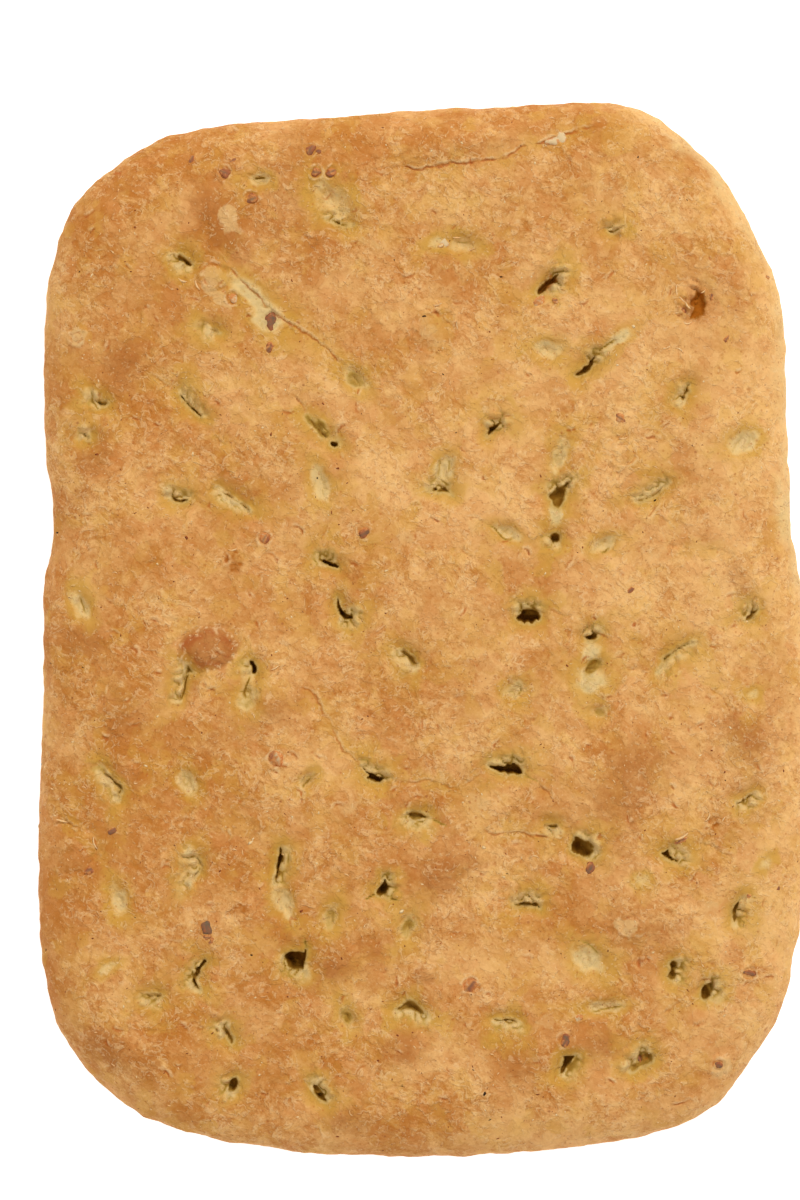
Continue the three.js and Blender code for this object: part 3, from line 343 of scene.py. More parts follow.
# Whole grains caught in the crust: [x, y, length, width, turn in degrees, tone].
# The tone is below 0 for cream, about 0.5 for red brown and 1 or more for dark purple brown.
GRAINS = [
    [-40.5, 82, 5.2, 3.2, -80, 0.95], [-51, 88.5, 3.4, 2.2, -40, -0.3], [5.2, 103.3, 3, 2.4, -50, -0.8],
    [34.2, 130.6, 4.2, 3.2, 10, -0.5], [36.8, 131.4, 3.2, 2.6, 80, -0.6], [-58, -79, 4, 2.6, -75, 1.4],
    [-46, 114.8, 3.2, 2.4, 20, 0.6], [-53.3, 121.8, 3.2, 2.4, -30, 0.7], [-28.8, 121.8, 2.8, 2.4, 0, 0.7],
    [-24.8, 121.8, 2.8, 2.4, 30, 0.7], [-30.4, 128, 3, 2.6, 60, 0.5], [30.6, 87.6, 3.8, 3, 40, 0.1],
    [44.3, -63.2, 3.4, 2.6, 60, 0.9], [57.5, -114.6, 3, 2.2, 30, 0.6], [37.6, -109, 3.4, 2.6, 60, 0.85],
    [78.6, -116.2, 2.6, 1.8, -30, 0.95], [86.6, -91.4, 3.4, 1.4, -15, 0.9],
    [-88.9, -63.9, 3.2, 2.4, 40, 0.6], [-42.4, 24.5, 3.4, 2.8, 60, 0.3], [-15.7, 26, 3.2, 2.8, 30, 0.65],
    [-39.4, -33.8, 4.6, 3.6, -60, 0.15], [12.2, -94.6, 4.8, 3.4, 50, 0.25], [41, -103.2, 2.4, 2, 40, 0],
    [52, 56.3, 3, 2.2, -30, 0.5], [-41.2, 75.1, 2.8, 2.2, 60, 0.5],
]
# Broken grains too small for the solid, in the same form
BROKEN_GRAINS = [
    [-58, -81.8, 2.2, 1.4, 10, 0.5], [-56.8, -83, 1.6, 1.2, 60, 0.5], [-62, 125.5, 2.2, 1.4, 70, 0.65],
    [-51, 125, 1.8, 1.2, 20, 0.6], [-28, 127.6, 1.6, 1.2, 10, 0.5], [35, 87.6, 2, 1.6, 0, 0.3],
    [-83, -53.5, 2.6, 1.8, 30, 0.6], [80.5, 77.5, 2, 1.2, 50, 0.55], [55, 10.5, 2, 1.2, 40, 0.8],
    [92, 94.5, 1.6, 1.2, 0, 0.5], [86.5, -71, 1.4, 1, 0, 0.45], [94.5, -69, 1.4, 1, 50, 0.45],
    [68.5, -56, 3.4, 1.4, 25, 0.35], [69, 85, 2.2, 1.4, 20, 0.5], [76.5, 89, 1.8, 1.2, 80, 0.55],
    [-56.5, -82.2, 1.2, 1, 0, 0],
]

# Rings of skin round grains and small bubbles: [x, y, diameter, how strongly they show]
RINGS = [
    [-42.5, 24.5, 4, 1], [-16, 26, 4, 0.8], [-39.5, -34.5, 4.8, 1], [12.5, -94.5, 5, 1], [1, -91.5, 6, 0.5],
    [53, 46.5, 7.5, 0.7], [3, 79.5, 12, 0.6], [-56, 94.5, 7.5, 0.8], [-92.5, 78, 4.5, 0.8],
    [55, -78.5, 6.5, 0.7], [78.6, -116.2, 4.4, 0.8], [86.6, -91.4, 4.2, 0.9], [-46, 114.8, 4.6, 0.8],
    [-53.3, 121.8, 4.2, 0.7], [-28.8, 121.8, 3.8, 0.8], [-24.8, 121.8, 3.8, 0.8], [-30.4, 128, 4, 0.6],
    [-40.5, 82, 6, 0.6], [-51, 88.5, 4.4, 0.8], [37.6, -109, 4.6, 0.7],
]

# Skin torn open to amber crumb: [x, y, length, width, turn in degrees, depth]
AMBER_TEARS = [
    [-51, 18.5, 5.5, 7, 0, 0.5], [-48.5, -74, 5, 3.2, 0, 0.4], [77.5, -51, 4.5, 4, 30, 0.6],
    [33, 92.5, 6.5, 3.4, 40, 0.1], [58.8, -114.3, 2.4, 2, 0, 0.1],
]

# Torn skin that stands up, as seen: [x, y, length, width, turn in degrees, curl]
TORN_SKIN = [
    [67, 90.1, 3.6, 0.6, -83, 0.6], [68.6, 87.7, 2.7, 0.6, -30, -0.8], [69.9, 86.1, 2.5, 0.7, -50, 1],
    [67, 84.3, 4, 0.5, 5, 0.8], [69.1, 85.2, 2.6, 0.5, 50, 0.6], [70.1, 81.5, 3, 0.7, 10, 1.2],
    [64.4, 74.9, 2.6, 0.6, 20, 1.2], [67.9, 74.6, 3, 0.5, -30, -1.2], [74.4, 90.1, 2, 0.5, 40, 0.8],
    [4.4, 102.3, 2, 1.2, 20, 0.5], [68.6, -55.2, 4.6, 1, 28, 1], [75.6, -50, 3, 0.8, 60, 1.4],
    [79.4, -50.6, 2.6, 0.6, 70, -1], [-64.4, 92.8, 3, 0.7, -20, 1.2], [-51, 21.2, 3, 0.6, 10, 1.4],
    [-60.6, 91.6, 3.4, 0.7, -65, 1.2], [9, 104.6, 3.2, 0.5, -5, 0.8], [12.5, 101.4, 3, 0.5, 10, -0.8],
    [3, 86.4, 4.4, 0.6, 5, 1.6], [8.6, 81, 4, 0.6, -80, 1.4], [53, 50.8, 3.2, 0.6, 10, 1.6],
    [-96, -51.2, 5, 0.7, -5, 1], [-88, -57, 4, 0.7, -70, 1.2], [-39.6, -10.2, 3, 0.6, 30, 1],
]

# Thin pale skin over small bubbles: [x, y, length, width, turn in degrees, how strongly it shows]
THIN_SKIN = [
    [53.5, -78.8, 7.5, 5.5, -40, 0.8], [-51, 92.5, 7, 4.5, -35, 0.9], [-55.5, 89, 9, 4, -45, 0.8],
    [-92.5, 78, 5, 5, 0, 0.8], [-52, 109.5, 6, 8.5, 25, 0.8], [79, -116.5, 7, 5, 50, 0.7],
    [-56.5, 94, 7.5, 6, -30, 0.9], [14, -46, 9, 5, -20, 0.5], [-20, -47, 7, 4, 30, 0.5],
    [76, -74, 6, 4, 0, 0.5], [-6, 24, 8, 4, 30, 0.4], [32, -104, 5, 4, 0, 0.5], [-14, 103, 8, 3, -15, 0.5],
    [1, 80, 9, 5, -60, 0.5], [62, 20, 7, 5, 20, 0.4], [-72, 10, 8, 5, -30, 0.4],
]

# Charred specks seen on the crust: [x, y, size]
CHAR_SPECKS = [
    [-98.5, 26, 1], [57, 126, 0.7], [68, 115, 0.6], [70, 114.5, 0.6], [61.5, 34.5, 0.9], [8.5, 52.5, 0.6],
    [-92, 95.5, 0.8], [16, -123.5, 1.6], [17.5, -130.5, 0.8], [-77, -76.5, 0.7], [-46, -86.5, 0.7],
    [-100, -9, 0.7], [-101.5, -86, 0.8], [-99, -102, 0.7], [22, -65, 0.7], [0, 83.5, 1.1],
    [-28.5, 40.5, 0.8], [5, 68, 0.6], [-8, 98.5, 0.6], [13, -117, 0.7], [20.5, 94, 0.9], [-91, -10, 0.6],
    [80, -40, 0.6],
]

# Crumbs that stand out from the side, as seen: [x, y, size]
SIDE_CRUMBS = [
    [24, 139, 1.5], [26.5, 139, 0.9], [-51, 133.7, 1.3], [-50, 133.9, 0.8], [44, 139.8, 0.9],
    [43, 139.8, 0.7], [-101.6, -53.2, 1.6], [10.3, -139.5, 1.2], [92, 96.2, 1], [62, 137, 0.8],
    [-88, 110, 0.8],
]

# How the marks are cut
DIMPLE_MARGIN = 3.2
DIMPLE_DEPTH = 1.8
CLOSED_MARK_DEPTH = 2.4
CLOSED_MARK_MARGIN = 1.6
RISE_OF_BROWNED_SWELL = 1.1
RELIEF_FADE = 14  # swells and mounds die away this near to the side
CRUST_INSET = 5  # where the crust's grid ends and the rolled side begins

# The mesh
GRID_COLUMNS = 38
GRID_ROWS = 52
BASE_MULTIPLE = 2  # the base's steps for each step of the coarse grid
SIDE_WRINKLE = 0.3  # how deep the long wrinkles of the side are
SIDE_STEP = 0.75  # height of one band of faces on the side
INSET_STEP = 2  # spacing of the points at which the distance to the side is worked out

# Fine dots in the crust's colour: colour, spacing, size, share of the places filled, strength
DOTS = (
    ("fold_light", 1.3, 0.3, 0.4, 0.3), ("fold", 1.5, 0.4, 0.35, 0.42), ("bran", 1.9, 0.24, 0.35, 0.55),
    ("bran", 5.5, 0.5, 0.22, 0.5), ("flour", 2.6, 0.28, 0.25, 0.35),
)

# How the small pieces are laid
SEEDS = {"wrinkles": 5, "noise": 7, "grains": 31, "bran": 41, "flour": 43, "char": 47, "skin": 53}
HALF_SIZE = (104, 142)  # the scattered pieces lie within this of the middle
ABOVE = 100  # rays that look for the crust start this high
BESIDE = 20  # and those that look for the side start this far out
LOWEST_CRUST = 9
SIDE_BAND = (1, 14)  # heights between which pieces lie on the side
CRUMB_HEIGHT = 9.5
GRAIN_TILT = 0.16
GRAIN_SINK = 0.17  # how deep a grain sits, as a share of its width
BRAN_THICKNESS = 0.14  # each thickness is a share of the fleck's size
FLOUR_THICKNESS = 0.3
CHAR_THICKNESS = 0.35
CHAR_SHARE = 0.75  # a chip is longer than its size, so a speck is laid at this share of its own
SIDE_CHAR_COUNT = 14
SIDE_CHAR_SIZE = 0.55
SHRED_COUNT = 260
LIFT = 0.02  # a shred of skin lies this far over the crust

# The stage
FLOOR_REACH = 3000
CAMERA_PLACE = (-6.48, 7.96)
SENSOR_WIDTH = 36
# Soft lights: where each stands and how wide it is, in metres
KEY_LIGHT = ((1.08, 2.235, 2.595), 1.35)
FILL_LIGHT = ((-0.5, -0.6, 2), 1.4)

# Fields stored on the mesh for the material
STAINS = (
    "hollow", "pale", "halo", "thin", "browned", "crease", "band", "amber", "blister", "bake", "side",
    "under",
)


def linear(level):
    """A level of 0 to 255 on screen as the linear value that Blender works with."""
    share = level / 255
    return share / 12.92 if share <= 0.04045 else ((share + 0.055) / 1.055) ** 2.4


def colour_setting(name, description, *screen):
    return FloatVectorProperty(
        name=name, description=description, subtype="COLOR", size=3, min=0, max=1,
        default=[linear(level) for level in screen],
    )


def length_setting(name, description, millimetres):
    return FloatProperty(
        name=name, description=description, default=millimetres * MM, min=0, unit="LENGTH",
        subtype="DISTANCE", precision=5,
    )


def count_setting(name, description, count, least=0, most=10 ** 6):
    return IntProperty(name=name, description=description, default=count, min=least, max=most)


def number_setting(name, description, number, least=0, unit="NONE"):
    return FloatProperty(name=name, description=description, default=number, min=least, unit=unit)


class SchiacciataForm(bpy.types.PropertyGroup):
    """Sizes of the loaf and of what lies on it"""

    rim_height: length_setting("Rim height", "Height of the side's widest line", 8.5)
    plateau: length_setting("Plateau", "Mean height of the crust", 22)
    shoulder_width: length_setting("Shoulder width", "How far in the crust becomes level", 24)
    shoulder_roundness: number_setting(
        "Shoulder roundness", "Exponent of the shoulder's superellipse", 2.4, 1)
    base_inset: length_setting("Base inset", "How far the base stays inside the widest line", 5)
    skin_relief: length_setting("Skin relief", "Height of the skin's wrinkles", 0.36)
    crease_depth: length_setting("Crease depth", "Depth of a baked fold", 0.36)
    valley_depth: length_setting("Valley depth", "Depth of the soft valley along a baked fold", 0.5)
    bran_size: length_setting("Bran size", "Mean length of a bran fleck", 0.34)
    bran_count: count_setting("Bran count", "Bran flecks on the crust", 720)
    side_bran_count: count_setting("Side bran count", "Bran flecks on the side", 130)
    flour_size: length_setting("Flour size", "Mean size of a flour fleck", 0.42)
    flour_count: count_setting("Flour count", "Flour flecks on the crust", 420)
    side_flour_count: count_setting("Side flour count", "Flour flecks on the side", 90)
    grid_multiple: count_setting(
        "Grid multiple", "Fineness of the crust's grid before it is thinned", 12, 2, 12)
    triangle_budget: count_setting(
        "Triangle budget", "Triangles left on the loaf once it is thinned", 196000, 20000, 199000)


class SchiacciataColours(bpy.types.PropertyGroup):
    """Colours of the crust, the dough and what is baked into them"""

    light_crust: colour_setting("Light crust", "Crust in its lightest areas", 245, 191, 121)
    dark_crust: colour_setting("Dark crust", "Crust in its darkest usual areas", 191, 117, 44)
    yellow_crust: colour_setting("Yellow crust", "Crust where it is yellower", 224, 168, 76)
    pink_crust: colour_setting("Pink crust", "Crust where it is pinker", 218, 142, 78)
    brown_crust: colour_setting("Brown crust", "Crust on the browned swells", 180, 110, 48)
    blister_brown: colour_setting("Blister middle", "Middle of the large blister", 190, 123, 62)
    blister_red: colour_setting("Blister edge", "Edge of the large blister", 174, 90, 38)
    pale_dough: colour_setting("Pale dough", "Dough laid bare beside a mark", 237, 201, 134)
    grey_dough: colour_setting("Grey dough", "Damp dough next to a mouth", 208, 183, 132)
    halo: colour_setting("Halo", "Yellow ring round a mark", 208, 156, 62)
    thin_skin: colour_setting("Thin skin", "Skin drawn thin over a small bubble", 228, 182, 118)
    side: colour_setting("Side", "Pale skin low on the side", 231, 197, 134)
    # Along creases and skin steps, fold and fold light are partly painted shade and highlight.
    fold: colour_setting("Fold", "Dark line along a crease", 184, 98, 36)
    fold_light: colour_setting("Fold light", "Lifted skin beside a crease", 244, 204, 148)
    amber: colour_setting("Amber", "Crumb under torn skin", 172, 94, 10)
    # These three colours are painted shade in the marks' floors, beside their mouths and along closed
    # lines,
    # darker where deeper; the lightest is partly the olive colour of a shallow floor.
    hollow_shade_light: colour_setting("Hollow light", "Floor of a shallow mark", 190, 150, 64)
    hollow_shade_brown: colour_setting("Hollow brown", "Wall of a hole", 140, 94, 20)
    hollow_shade_dark: colour_setting("Hollow dark", "Floor of a deep hole", 110, 64, 2)
    underside: colour_setting("Underside", "Base of the loaf", 203, 150, 92)
    bran: colour_setting("Bran", "Bran flecks", 158, 80, 40)
    dark_bran: colour_setting("Dark bran", "Darker patches of the bran", 120, 60, 32)
    flour: colour_setting("Flour", "Flour and scraps of skin", 246, 218, 166)
    dark_flour: colour_setting("Dark flour", "Darker patches of the flour", 236, 194, 132)
    char: colour_setting("Char", "Charred specks", 58, 34, 20)
    dark_char: colour_setting("Dark char", "Darkest char", 24, 16, 12)
    grain_cream: colour_setting("Pale grain", "Palest whole grain", 224, 194, 146)
    grain_red: colour_setting("Red grain", "Red brown grain", 166, 98, 62)
    grain_dark: colour_setting("Dark grain", "Dark purple brown grain", 120, 97, 74)


class SchiacciataStage(bpy.types.PropertyGroup):
    """Floor, light and camera"""

    floor_colour: colour_setting("Floor", "Pale floor", 252, 252, 252)
    floor_glow: number_setting("Floor glow", "Light given off by the floor, as by a light table", 0.6)
    camera_height: length_setting("Camera height", "Camera's height over the floor", 900)
    lens: number_setting("Lens", "Camera's focal length", 99, 1, "CAMERA")
    world_strength: number_setting("World strength", "Light from all round", 0.5)
    key_power: number_setting(
        "Key power", "Power of the soft light from the upper right", 66, unit="POWER")
    fill_power: number_setting("Fill power", "Power of the soft light from above", 6.5, unit="POWER")


# Numbers and noise


def smoothstep(value):
    share = np.clip(value, 0, 1)
    return share * share * (3 - 2 * share)


def bump(share):
    """A smooth bump of height 1 that has almost died away at 1.5 radii."""
    return np.exp(-2 * share * share)


def bell(value):
    return np.exp(-value ** 2)


def noise_tables(size=256):
    draw = np.random.default_rng(SEEDS["noise"])
    slopes = draw.normal(size=(size, 3))
    return draw.permutation(size), slopes / np.linalg.norm(slopes, axis=1)[:, None]


SHUFFLE, SLOPES = noise_tables()


def noise(points, feature, seed=0):
    """Gradient noise of about -1 to 1 at points [x, y, z], with features of the given size."""
    scaled = points / feature + seed * 17.31
    cell = np.floor(scaled).astype(np.int64)
    local = scaled - cell
    fade = local ** 3 * (local * (local * 6 - 15) + 10)
    total = np.zeros(len(points))
    for corner in product((0, 1), repeat=3):
        index = cell + corner
        hashed = SHUFFLE[index[:, 0] & 255]
        hashed = SHUFFLE[(hashed + index[:, 1]) & 255]
        hashed = SHUFFLE[(hashed + index[:, 2]) & 255]
        height = (SLOPES[hashed] * (local - corner)).sum(axis=1)
        weight = np.where(corner, fade, 1 - fade).prod(axis=1)
        total += weight * height
    return 1.7 * total


def sizes_of(group):
    """A settings group as plain values, with its lengths in millimetres."""
    values = {}
    for key, setting in group.bl_rna.properties.items():
        if key in ("rna_type", "name"):
            continue
        value = getattr(group, key)
        values[key] = value / MM if getattr(setting, "unit", "NONE") == "LENGTH" else value
    return SimpleNamespace(**values)


# Curves on the crust


def smooth_run(points, closed=False, steps=6):
    """A centripetal Catmull-Rom curve through points [x, y]."""
    points = np.asarray(points, float)
    if closed:
        before, start, end, after = (np.roll(points, turn, axis=0) for turn in (1, 0, -1, -2))
    else:
        led_in = np.vstack([2 * points[0] - points[1], points, 2 * points[-1] - points[-2]])
        before, start, end, after = led_in[:-3], led_in[1:-2], led_in[2:-1], led_in[3:]
    spans = ((before, start), (start, end), (end, after))
    gap = [np.sqrt(np.linalg.norm(b - a, axis=1))[:, None] for a, b in spans]
    leaving = (start - before) / gap[0] - (end - before) / (gap[0] + gap[1])
    leaving = (leaving + (end - start) / gap[1]) * gap[1]
    arriving = (end - start) / gap[1] - (after - start) / (gap[1] + gap[2])
    arriving = (arriving + (after - end) / gap[2]) * gap[1]
    share = np.linspace(0, 1, steps, endpoint=False)[:, None, None]
    square = 3 * (end - start) - 2 * leaving - arriving
    cube = leaving + arriving - 2 * (end - start)
    curve = start + leaving * share + square * share ** 2 + cube * share ** 3
    curve = curve.transpose(1, 0, 2).reshape(-1, 2)
    return curve if closed else np.vstack([curve, points[-1]])


def distance_to_run(x, y, run):
    """Signed distance to a polyline, positive on its left, the share along it and the foot."""
    nearest = np.full(len(x), np.inf)
    side = np.ones(len(x))
    share = np.zeros(len(x))
    foot = np.zeros((len(x), 2))
    lengths = np.linalg.norm(np.diff(run, axis=0), axis=1)
    passed = 0
    for start, end, length in zip(run[:-1], run[1:], lengths):
        heading = (end - start) / length
        along = (x - start[0]) * heading[0] + (y - start[1]) * heading[1]
        across = (y - start[1]) * heading[0] - (x - start[0]) * heading[1]
        beyond = along - np.clip(along, 0, length)
        distance = np.hypot(across, beyond)
        closer = distance < nearest
        nearest[closer] = distance[closer]
        side[closer] = np.sign(across[closer])
        reached = np.clip(along[closer], 0, length)
        share[closer] = (passed + reached) / lengths.sum()
        foot[closer] = start + reached[:, None] * heading
        passed += length
    return nearest * side, share, foot


OUTLINE_CURVE = smooth_run(OUTLINE, closed=True, steps=24)
OUTLINE_LOOP = np.vstack([OUTLINE_CURVE, OUTLINE_CURVE[:1]])


def ring(count, inset):
    """Even steps along the outline moved inwards, clockwise from the grid's first corner."""
    spans = np.linalg.norm(np.diff(OUTLINE_LOOP, axis=0), axis=1)
    passed = np.concatenate([[0], np.cumsum(spans)])
    place = ((OUTLINE_START + np.arange(count) / count) % 1) * passed[-1]
    ahead = np.roll(OUTLINE_CURVE, -1, axis=0)
    behind = np.roll(OUTLINE_CURVE, 1, axis=0)
    tangent = (ahead - behind) / np.linalg.norm(ahead - behind, axis=1)[:, None]
    tangent = np.vstack([tangent, tangent[:1]])
    x, y, run, rise = (
        np.interp(place, passed, column) for column in (*OUTLINE_LOOP.T, *tangent.T)
    )
    return np.column_stack([x + rise * inset, y - run * inset])


def inset_grid():
    """Distance inside the widest line at the points of a coarse grid over the loaf."""
    reach = np.abs(np.array(OUTLINE)).max(axis=0) + 2 * INSET_STEP
    columns = np.arange(-reach[0], reach[0] + INSET_STEP, INSET_STEP)
    rows = np.arange(-reach[1], reach[1] + INSET_STEP, INSET_STEP)
    x, y = (axis.ravel() for axis in np.meshgrid(columns, rows))
    distance, _, _ = distance_to_run(x, y, OUTLINE_LOOP)
    return columns, rows, -distance.reshape(len(rows), len(columns))


INSET_COLUMNS, INSET_ROWS, INSETS = inset_grid()


def inset_at(x, y):
    """Distance inside the widest line, blended from the coarse grid."""
    column = np.clip((x - INSET_COLUMNS[0]) / INSET_STEP, 0, len(INSET_COLUMNS) - 1.001)
    row = np.clip((y - INSET_ROWS[0]) / INSET_STEP, 0, len(INSET_ROWS) - 1.001)
    i, j = column.astype(int), row.astype(int)
    u, v = column - i, row - j
    low = INSETS[j, i] * (1 - u) + INSETS[j, i + 1] * u
    high = INSETS[j + 1, i] * (1 - u) + INSETS[j + 1, i + 1] * u
    return low * (1 - v) + high * v


def outward(x, y, step=1.5):
    """Unit vectors [x, y] away from the middle of the loaf, square to its side."""
    slope = np.column_stack([
        inset_at(x - step, y) - inset_at(x + step, y),
        inset_at(x, y - step) - inset_at(x, y + step),
    ])
    return slope / np.maximum(np.linalg.norm(slope, axis=1), 1e-6)[:, None]


def on_axes(x, y, turn):
    """Places turned into a shape's own axes, along and across it."""
    cos, sin = math.cos(math.radians(turn)), math.sin(math.radians(turn))
    return x * cos + y * sin, y * cos - x * sin


def ellipse_share(x, y, shape, margin=0):
    """Distance from the middle of an ellipse [x, y, length, width, turn], as a share of its radius."""
    along, across = on_axes(x - shape[0], y - shape[1], shape[4])
    return np.hypot(along / (shape[2] / 2 + margin), across / (shape[3] / 2 + margin))


def window(x, y, places, reach):
    """Numbers of the points in a square round one place, or round a curve."""
    places = np.atleast_2d(places)
    middle = (places.max(axis=0) + places.min(axis=0)) / 2
    reach = np.ptp(places, axis=0).max() / 2 + reach
    inside = (np.abs(x - middle[0]) < reach) & (np.abs(y - middle[1]) < reach)
    return np.flatnonzero(inside)


def flat_points(x, y, level=0):
    """Points [x, y, z] at one level, at which noise can be read."""
    return np.column_stack([x, y, np.full(len(x), float(level))])


# Main form, as the frame's solid has it


def shoulder_height(form, inset):
    share = np.clip(inset / form.shoulder_width, 0, 1)
    roundness = form.shoulder_roundness
    rise = (1 - (1 - share) ** roundness) ** (1 / roundness)
    return form.rim_height + (form.plateau - form.rim_height) * rise


def rolling_swell(x, y):
    return (
        0.7 * np.sin(x / 15 + 0.7) * np.cos(y / 19 - 0.4)
        + 0.6 * np.sin(x / 27 - y / 31 + 1.9)
        + 0.3 * np.cos(x / 9 + y / 12)
    )


def crust_height(form, x, y, inset):
    relief = rolling_swell(x, y)
    for swell in BROWNED_SWELLS:
        relief += RISE_OF_BROWNED_SWELL * bump(ellipse_share(x, y, swell))
    for blister in BLISTERS:
        relief += blister[5] * bump(ellipse_share(x, y, blister) ** 1.5)
    for mark in OPEN_MARKS:
        relief -= DIMPLE_DEPTH * bump(ellipse_share(x, y, mark, DIMPLE_MARGIN))
    for mark in CLOSED_MARKS:
        relief -= CLOSED_MARK_DEPTH * bump(ellipse_share(x, y, mark, CLOSED_MARK_MARGIN))
    return shoulder_height(form, inset) + relief * smoothstep(inset / RELIEF_FADE)


# Fine relief and stains


class Crust:
    """Places on the crust, and the fields there: the height of the fine relief, and the stains."""

    def __init__(self, form, x, y):
        self.x, self.y = x, y
        skin = wrinkled_skin(flat_points(x, y))
        self.fields = {name: np.zeros(len(x)) for name in STAINS}
        self.fields["height"] = form.skin_relief * skin
        self.fields["bake"] = 0.05 * skin + overall_bake(x, y)


class Spot:
    """The crust's places near one feature, which changes the fields there."""

    def __init__(self, crust, places, reach, level=0):
        self.fields = crust.fields
        self.near = window(crust.x, crust.y, places, reach)
        self.x, self.y = crust.x[self.near], crust.y[self.near]
        self.points = flat_points(self.x, self.y, level)

    def noise(self, feature, seed):
        return noise(self.points, feature, seed)

    def lift(self, height):
        self.fields["height"][self.near] += height

    def stain(self, name, strength):
        field = self.fields[name]
        field[self.near] = np.maximum(field[self.near], strength)


def wrinkled_skin(points):
    """Height of the skin's own wrinkles, about -1 to 1: steps where it has slipped, over soft lumps."""
    drift = np.column_stack([noise(points, 7, seed) for seed in (21, 22, 23)])
    level = 1.7 * noise(points + 2.4 * drift, 6, 24)
    step = level - np.floor(level)
    slipped = step - smoothstep((step - 0.78) / 0.22)
    patchy = smoothstep(0.55 + 1.3 * noise(points, 17, 25))
    lumps = 0.55 * noise(points, 11, 26) + 0.35 * noise(points, 3.4, 27) + 0.16 * noise(points, 1.5, 28)
    return 0.9 * (slipped - 0.4) * patchy + lumps


def press_crease(crust, run, depth, width, valley=0, whole=0.6):
    """A broken groove along a run, with the skin lifted along its left side, in a soft valley."""
    curve = smooth_run(run)
    spot = Spot(crust, curve, 8 * width + 6 * valley)
    distance, share, _ = distance_to_run(spot.x, spot.y, curve)
    distance = distance + 0.8 * spot.noise(3.1, 31) + 0.3 * spot.noise(1.2, 33)
    length = np.linalg.norm(np.diff(curve, axis=0), axis=1).sum()
    fading = min(5, 0.4 * length)
    ends = smoothstep(share * length / fading) * smoothstep((1 - share) * length / fading)
    taper = ends * smoothstep(whole + 1.5 * spot.noise(4, 32))
    groove = taper * bell(distance / width)
    lifted = taper * bell((distance - 1.9 * width) / (1.3 * width))
    wide = ends * bell(distance / 3.4)
    spot.lift(depth * (0.7 * lifted - groove) - valley * wide)
    # The groove is darkened, partly as painted shade, and the lifted skin lightened,
    # partly as a painted highlight on its edge.
    strength = min(1, 2.4 * depth)
    spot.stain("crease", strength * groove)
    spot.stain("band", 0.7 * strength * lifted)
    if valley:
        spot.stain("halo", 0.45 * wide)


def random_wrinkles(count=640):
    """Short curved creases scattered over the crust, each as a run and a depth."""
    draw = np.random.default_rng(SEEDS["wrinkles"])
    for _ in range(count):
        x, y = draw.uniform(-92, 92), draw.uniform(-128, 128)
        heading = math.radians(draw.normal(-25, 45))
        length = draw.uniform(1.6, 6.5)
        curl = draw.normal(0, 0.9)
        places = np.linspace(-0.5, 0.5, 4)
        turns = heading + curl * places
        run = np.column_stack([x + places * length * np.cos(turns), y + places * length * np.sin(turns)])
        yield run, draw.uniform(0.2, 0.45)


def inside_loop(x, y, loop):
    """Whether each point lies inside a closed loop, from the edges that pass east of it."""
    inside = np.zeros(len(x), bool)
    for start, end in zip(loop, np.roll(loop, -1, axis=0)):
        if start[1] != end[1]:
            spanned = (start[1] > y) != (end[1] > y)
            crossing = start[0] + (y - start[1]) * (end[0] - start[0]) / (end[1] - start[1])
            inside ^= spanned & (x < crossing)
    return inside


def distance_to_loop(x, y, loop):
    """Signed distance to a closed loop of points, positive outside it."""
    distance, _, _ = distance_to_run(x, y, np.vstack([loop, loop[:1]]))
    return np.abs(distance) * np.where(inside_loop(x, y, loop), -1, 1)


def press_mouth(crust, mark, burst=0):
    """A docking mark's ragged mouth, with pale lumpy dough round it, most of it on one side.

    A burst blister has amber crumb inside in place of the pale dough.
    """
    centre_x, centre_y, length, _, _, lip, shade, mouth = mark
    spot = Spot(crust, mark[:2], length / 2 + 9, centre_x)
    ripple, tremble = spot.noise(1.6, 41), spot.noise(0.8, 42)
    loop = smooth_run(mouth, closed=True, steps=3) + (centre_x, centre_y)
    outside = distance_to_loop(spot.x, spot.y, loop) + 0.16 * ripple + 0.1 * tremble
    inside, away = np.maximum(-outside, 0), np.maximum(outside, 0)
    bearing = np.arctan2(spot.y - centre_y, spot.x - centre_x)
    lip_side = smoothstep((np.cos(bearing - math.radians(lip)) + 0.3) / 0.9)

    sunk = (0.9 + 3.4 * shade ** 1.5) * (1 - np.exp(-inside / (0.7 - 0.4 * shade)))
    sunk = sunk * (1 + 0.3 * ripple)
    slope = 0.8 * bell(away / (1.7 + 0.8 * (1 - lip_side)))
    rim = 0.12 * (1 - lip_side) * bell((away - 0.5) / 0.4)
    folded = bell(away / (0.9 + 2 * lip_side))
    puckers = np.abs(spot.noise(2.6, 43))
    billows = 1.8 * puckers - 0.35 + 0.25 * tremble
    spot.lift(rim + (0.6 + 1.2 * lip_side) * folded * billows - sunk - slope)

    # Painted shade: the floor darkens with depth, and a painted shadow lies beside the mouth away from
    # the lip and in the clefts between the puckers on the lip side.
    softness = 0.9 - 0.55 * shade
    floor = smoothstep(0.3 + inside / softness - away / 0.7)
    floor = shade * floor * (0.95 - 0.25 * lip_side + 0.3 * ripple)
    cleft = smoothstep((0.2 - puckers) / 0.18)
    shadow = 0.22 * (1 - lip_side) * bell(away / 1.5)
    shadow = np.maximum(shadow, (0.34 * cleft + 0.16 * shade) * folded * lip_side)
    lean = 1 + 0.5 * spot.noise(5, 44)
    spot.stain("hollow", np.maximum(floor, (1 - burst) * shadow))
    spot.stain("pale", 0.9 * (1 - burst) * bell(away / (lean * (0.6 + 1.9 * lip_side))))
    spot.stain("halo", (1 - burst) * bell(away / (lean * (3.2 + 2.6 * lip_side))))
    spot.stain("amber", burst * smoothstep((inside + 0.1) / 0.4))
    spot.stain("browned", 0.5 * burst * bell(away / 2.5))


